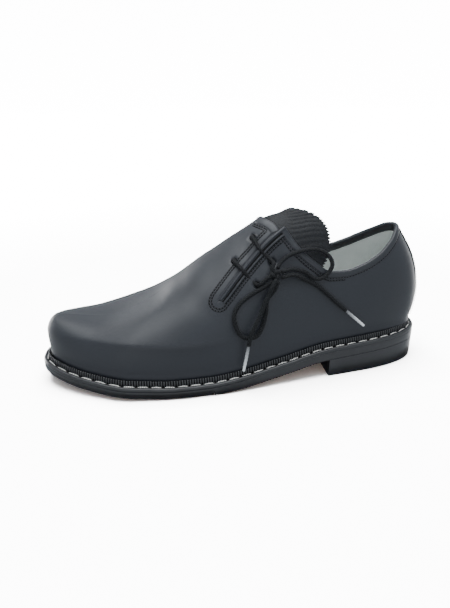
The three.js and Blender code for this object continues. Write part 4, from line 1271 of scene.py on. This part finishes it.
def even_turns(inset, count, first=0.0, last=1.0, closed=True):
    """Turns at even steps of the length along the rim, drawn in by inset."""
    turns = dense[(dense >= first - 1e-9) & (dense <= last + 1e-9)]
    run = run_along(outline(turns, inset))
    return np.interp(np.linspace(0, run[-1], count, endpoint=not closed), run, turns)


def raised(height):
    """The surface at a height over the outsole's underside, as a function of x."""
    return lambda x: lift(x) + height


def row_round(turns, inset, level):
    """A row of points round the sole, drawn in from its rim, at the level of a surface."""
    plan = outline(turns, inset)
    return np.column_stack([plan, level(plan[:, 0])])


def strip_round(name, turns, profile, finish, node, slot, **options):
    """A closed profile carried round the sole: insets and heights over the outsole, as arrays by turn."""
    rows = [row_round(turns, inset, raised(OUTSOLE + height)) for inset, height in profile]
    piece = make(name, np.stack(rows, 1), grid_faces(len(turns), len(rows), True, True), finish, **options)
    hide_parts(node)


# %% [markdown]
# The rand is a round bead with a groove between each two of its ribs; the grooves take a near-black finish,
# painted shade. It is one profile whose width and height go in and out with the turn, eight steps to a rib.
# The welt rises from its channel to a rounded lip, and its white stitches lie in the channel, longer towards
# the toe.

# %% Rand
RIB_STEPS, RAND_TOP = 8, 3.8
PAINTED_SHADE_STEPS, GROOVE_IN, GROOVE_DOWN = (2, 3, 4, 5), 0.8, 0.35
rand_run = run_along(outline(dense, LEDGE))[-1]
rib_count = round(rand_run / RIB_PITCH)
rand_steps = np.arange(rib_count * RIB_STEPS)
between_ribs = 1 - np.abs(np.cos(np.pi * rand_steps / RIB_STEPS)) ** 0.55
inner, foot = LEDGE - GAP, WELT - WELT_GROOVE + 0.1
rand_profile = []
for angle in np.radians([40, 70, 90, 105, 120, 135, 150, 165, 180]):
    height = (WELT + RAND_TOP - foot) * np.maximum(np.sin(angle), 0) ** 0.9
    width = RAND * (0.5 - 0.5 * np.cos(angle))
    groove = GROOVE_IN * between_ribs * (1 if angle > np.pi / 3 else 0.3)
    rand_profile.append((inner - width + groove, foot + height - GROOVE_DOWN * between_ribs * np.sin(angle)))
rand_profile.append((inner + 0 * between_ribs, foot + 0 * between_ribs))
# Faces in the grooves take the near-black finish: painted shade between the ribs.
groove_painted_shade = np.repeat(np.isin(rand_steps % RIB_STEPS, PAINTED_SHADE_STEPS), len(rand_profile)).astype(int)
rand_turns = even_turns(LEDGE, len(rand_steps))
strip_round("rand_ribbed", rand_turns, rand_profile, rand_black, "rand", "rand_leather",
            extra=(painted_pressed_shade,), which=groove_painted_shade)
print("rand:", rib_count, "ribs, pitch", round(rand_run / rib_count, 2), "mm")

# %% Welt
WELT_COLUMNS = 900
welt_turns = even_turns(0.0, WELT_COLUMNS)
channel, lip = WELT - WELT_GROOVE, WELT - 0.08
ripple = 0.06 * np.sin(welt_turns * 2 * np.pi * 37) + 0.05 * np.sin(welt_turns * 2 * np.pi * 61 + 1.0)
welt_profile = [(inset, height + ripple * (height > 1)) for inset, height in (
    (inner, GAP / 2), (inner, channel), (3.1, channel), (2.6, channel + 0.2), (2.2, 3.0), (1.7, lip),
    (1.2, lip), (0.7, 2.95), (0.35, 2.6), (0.1, 2.1), (0.0, 1.5), (0.0, 0.55), (0.12, 0.25), (0.3, GAP / 2))]
strip_round("welt_channelled", welt_turns, welt_profile, edge_black, "welt", "welt_leather")

# %% White stitches in the channel
STITCH_PITCH, STITCH_PITCH_TOE, STITCH_INSET, STITCH_SHARE, STITCH_THREAD = 9.3, 11.0, 3.2, 0.82, 0.9
stitch_line = row_round(even_turns(STITCH_INSET, 1400), STITCH_INSET, raised(OUTSOLE + channel + 0.5))
stitch_line = np.vstack([stitch_line, stitch_line[:1]])
upwards = np.zeros_like(stitch_line) + [0.0, 0.0, 1.0]
at_toe = np.clip((stitch_line[:, 0] / LENGTH - 0.72) / 0.13, 0, 1)
sewn("welt_stitches", stitch_line, upwards, STITCH_PITCH + (STITCH_PITCH_TOE - STITCH_PITCH) * at_toe,
     STITCH_SHARE, STITCH_THREAD, white_thread)


# %% [markdown]
# Plates: the outsole with its black edge and its tan face, the rubber half sole let into it, the heel block
# and the insole. Each is a rim's profile carried round, and strips from side to side close it above and
# below. That keeps the long faces flat across the foot, where a fan of triangles would pucker.

# %% Plates
CREASE_ANGLE = math.radians(40)


def plate(name, node, turns, profile, under, over, edge, face, closed=True):
    """A plate under the foot: its rim's profile from below up, as insets and shares of the way between two
    surfaces, and strips from side to side over both faces. An open plate ends in a straight cut."""
    rows = [row_round(turns, inset, lambda x: under(x) + (over(x) - under(x)) * share)
            for inset, share in profile]
    points = np.stack(rows, 1)
    count, depth = points.shape[:2]
    a = np.arange(count // 2)
    far = (count - a) % count if closed else count - 1 - a
    far_next = count - a - 1 if closed else count - 2 - a
    strips = np.stack([a, far, far_next, a + 1], -1) * depth
    parts = [grid_faces(count, depth, wrap_rows=closed), strips, strips[:, ::-1] + depth - 1]
    if not closed:
        i, last = np.arange(depth - 1), (count - 1) * depth
        parts.append(np.stack([i, last + i, last + i + 1, i + 1], -1))
    which = np.concatenate([np.full(len(part), int(number == 1)) for number, part in enumerate(parts)])
    piece = make(name, points, np.concatenate(parts), edge, merge=0.003, closed=True, extra=(face,),
                 which=which)
    piece.data.set_sharp_from_angle(angle=CREASE_ANGLE)
    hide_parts(node)


def outer_side(count, first=0.0, last=0.5):
    """Turns at even steps on the outer side."""
    return even_turns(0.0, count, first, last, closed=False)


# %% Outsole
EDGE_DYE, STEP_HALF = 2.2, 0.0003
rear_turn, rear_x = float(turn_at(HALF_SOLE_REAR)), HALF_SOLE_REAR * LENGTH


def outsole_under(x):
    """The outsole's underside, with the half sole's bed cut into it at the front."""
    return lift(x) + np.where(x > rear_x, HALF_SOLE + GAP / 2, 0.0)


rear, front = outer_side(220, 0.0, rear_turn - STEP_HALF), outer_side(180, rear_turn + STEP_HALF)
side = np.concatenate([rear, front])
edge_profile = [(EDGE_DYE, 0.0), (0.2, 0.0), (0.05, 0.02), (0.0, 0.06), (0.0, 0.96), (0.03, 0.99),
                (0.1, 1.0)]
plate("outsole_leather", "outsole", np.concatenate([side, 1 - side[-2:0:-1]]), edge_profile,
      outsole_under, raised(OUTSOLE + GAP / 2), edge_black, tan_leather)

# %% Half sole
side = outer_side(200, rear_turn + 0.0005)
half_profile = [(2.4, 0.0), (1.3, 0.12), (0.5, 0.3), (0.1, 0.5), (0.0, 0.6), (0.0, 1.0)]
plate("half_sole_rubber", "half_sole", np.concatenate([side, 1 - side[-2::-1]]), half_profile,
      lift, raised(HALF_SOLE + GAP / 2), edge_black, rubber, closed=False)

# %% Heel block
HEEL_DRAFT = 0.4
side = outer_side(140, 0.0, float(turn_at(BREAST)))
heel_profile = [(HEEL_DRAFT + 0.6, 0.0), (HEEL_DRAFT + 0.12, 0.02), (HEEL_DRAFT, 0.06),
                (HEEL_DRAFT * 0.5, 0.5), (0.0, 0.97), (0.03, 0.99), (0.1, 1.0)]
plate("heel_block", "heel", np.concatenate([-side[:0:-1], side]), heel_profile,
      np.zeros_like, raised(-GAP / 2), heel_black, rubber, closed=False)

# %% Insole
INSOLE, INSOLE_CLEARANCE = 3.0, 0.9
inset = LEDGE + WALL + INSOLE_CLEARANCE
side = outer_side(120)
insole_profile = [(inset, 0.0), (inset, 0.8), (inset + 0.3, 0.95), (inset + 1.0, 1.0)]
plate("insole_leather", "insole", np.concatenate([side, 1 - side[-2:0:-1]]), insole_profile,
      raised(OUTSOLE + GAP), raised(OUTSOLE + GAP + INSOLE), sock, sock)

# %% [markdown]
# The camera's floor gives no light, so two things stand for it: a dark patch under the sole, where a real
# floor lies in shadow, and a strip of light past the toe. The strip reaches only the upper, the vamp's
# binding, the tongue, the rand and the welt.

# %% Shade under the sole
SHADE_SIDES, SHADE_PAST, SHADE_DOWN = 160, 9.0, 0.6
shade_finish = Finish("floor_shade", Base_Color=(0.02, 0.02, 0.02, 1.0), Roughness=1.0,
                      Specular_IOR_Level=0.0)
shade_rim = row_round(even_turns(0.0, SHADE_SIDES), -SHADE_PAST, lambda x: 0 * x - SHADE_DOWN)
shade_mesh = bpy.data.meshes.new("floor_shade")
shade_mesh.from_pydata(((shade_rim + SHIFT) / 1000).tolist(), [], [list(range(SHADE_SIDES))])
shade_mesh.materials.append(shade_finish.material)
floor_shade = bpy.data.objects.new("floor_shade", shade_mesh)
bpy.context.scene.collection.objects.link(floor_shade)
floor_shade.visible_camera = floor_shade.visible_shadow = False

# %% The toe strip's reach
strip_lit = bpy.data.collections.new("lit_by_toe_strip")
for piece_name in ("upper_leather", "rand_ribbed", "welt_channelled", "binding_vamp", "tongue_leather"):
    strip_lit.objects.link(made[piece_name])
toe_strip.light_linking.receiver_collection = strip_lit

# %% [markdown]
# The backstay is a strip over the heel's seam, sewn down along both edges. It takes the first share of each
# quarter's columns, so it widens as they do, and lies a little off the leather, with its own thickness.

# %% Backstay
BACKSTAY, BACKSTAY_CLEARANCE, STAY_SHARE_OUTER, STAY_SHARE_INNER = 0.8, 0.15, 1 / 18, 1 / 21
stay_rows, stay_k = np.linspace(0.09, 0.93, 60), np.linspace(0, 1, 9)
stay_out = BACKSTAY_CLEARANCE + BACKSTAY
stay_outer = quarter("lateral", SLIT_FOOT, SLIT_CORNER, STAY_SHARE_OUTER * stay_k, stay_rows)
stay_inner = mirrored(quarter("medial", MEDIAL_FOOT, CREST, STAY_SHARE_INNER * stay_k, stay_rows))
stay_turn, stay_climb = (np.concatenate([a[:-1], b]) for a, b in zip(stay_inner, stay_outer))
stay_points = on_upper(stay_turn, stay_climb, stay_out)
stay_piece = make("backstay_leather", stay_points, grid_faces(*stay_turn.shape), black_calf)
wall(stay_piece, BACKSTAY)
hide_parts("backstay")
for name, column, inwards in (("outer", -1, 1.6), ("inner", 0, -1.6)):
    seam("seam_backstay_" + name, beside((stay_turn[column], stay_climb[column]), inwards), 0.7, stay_out)
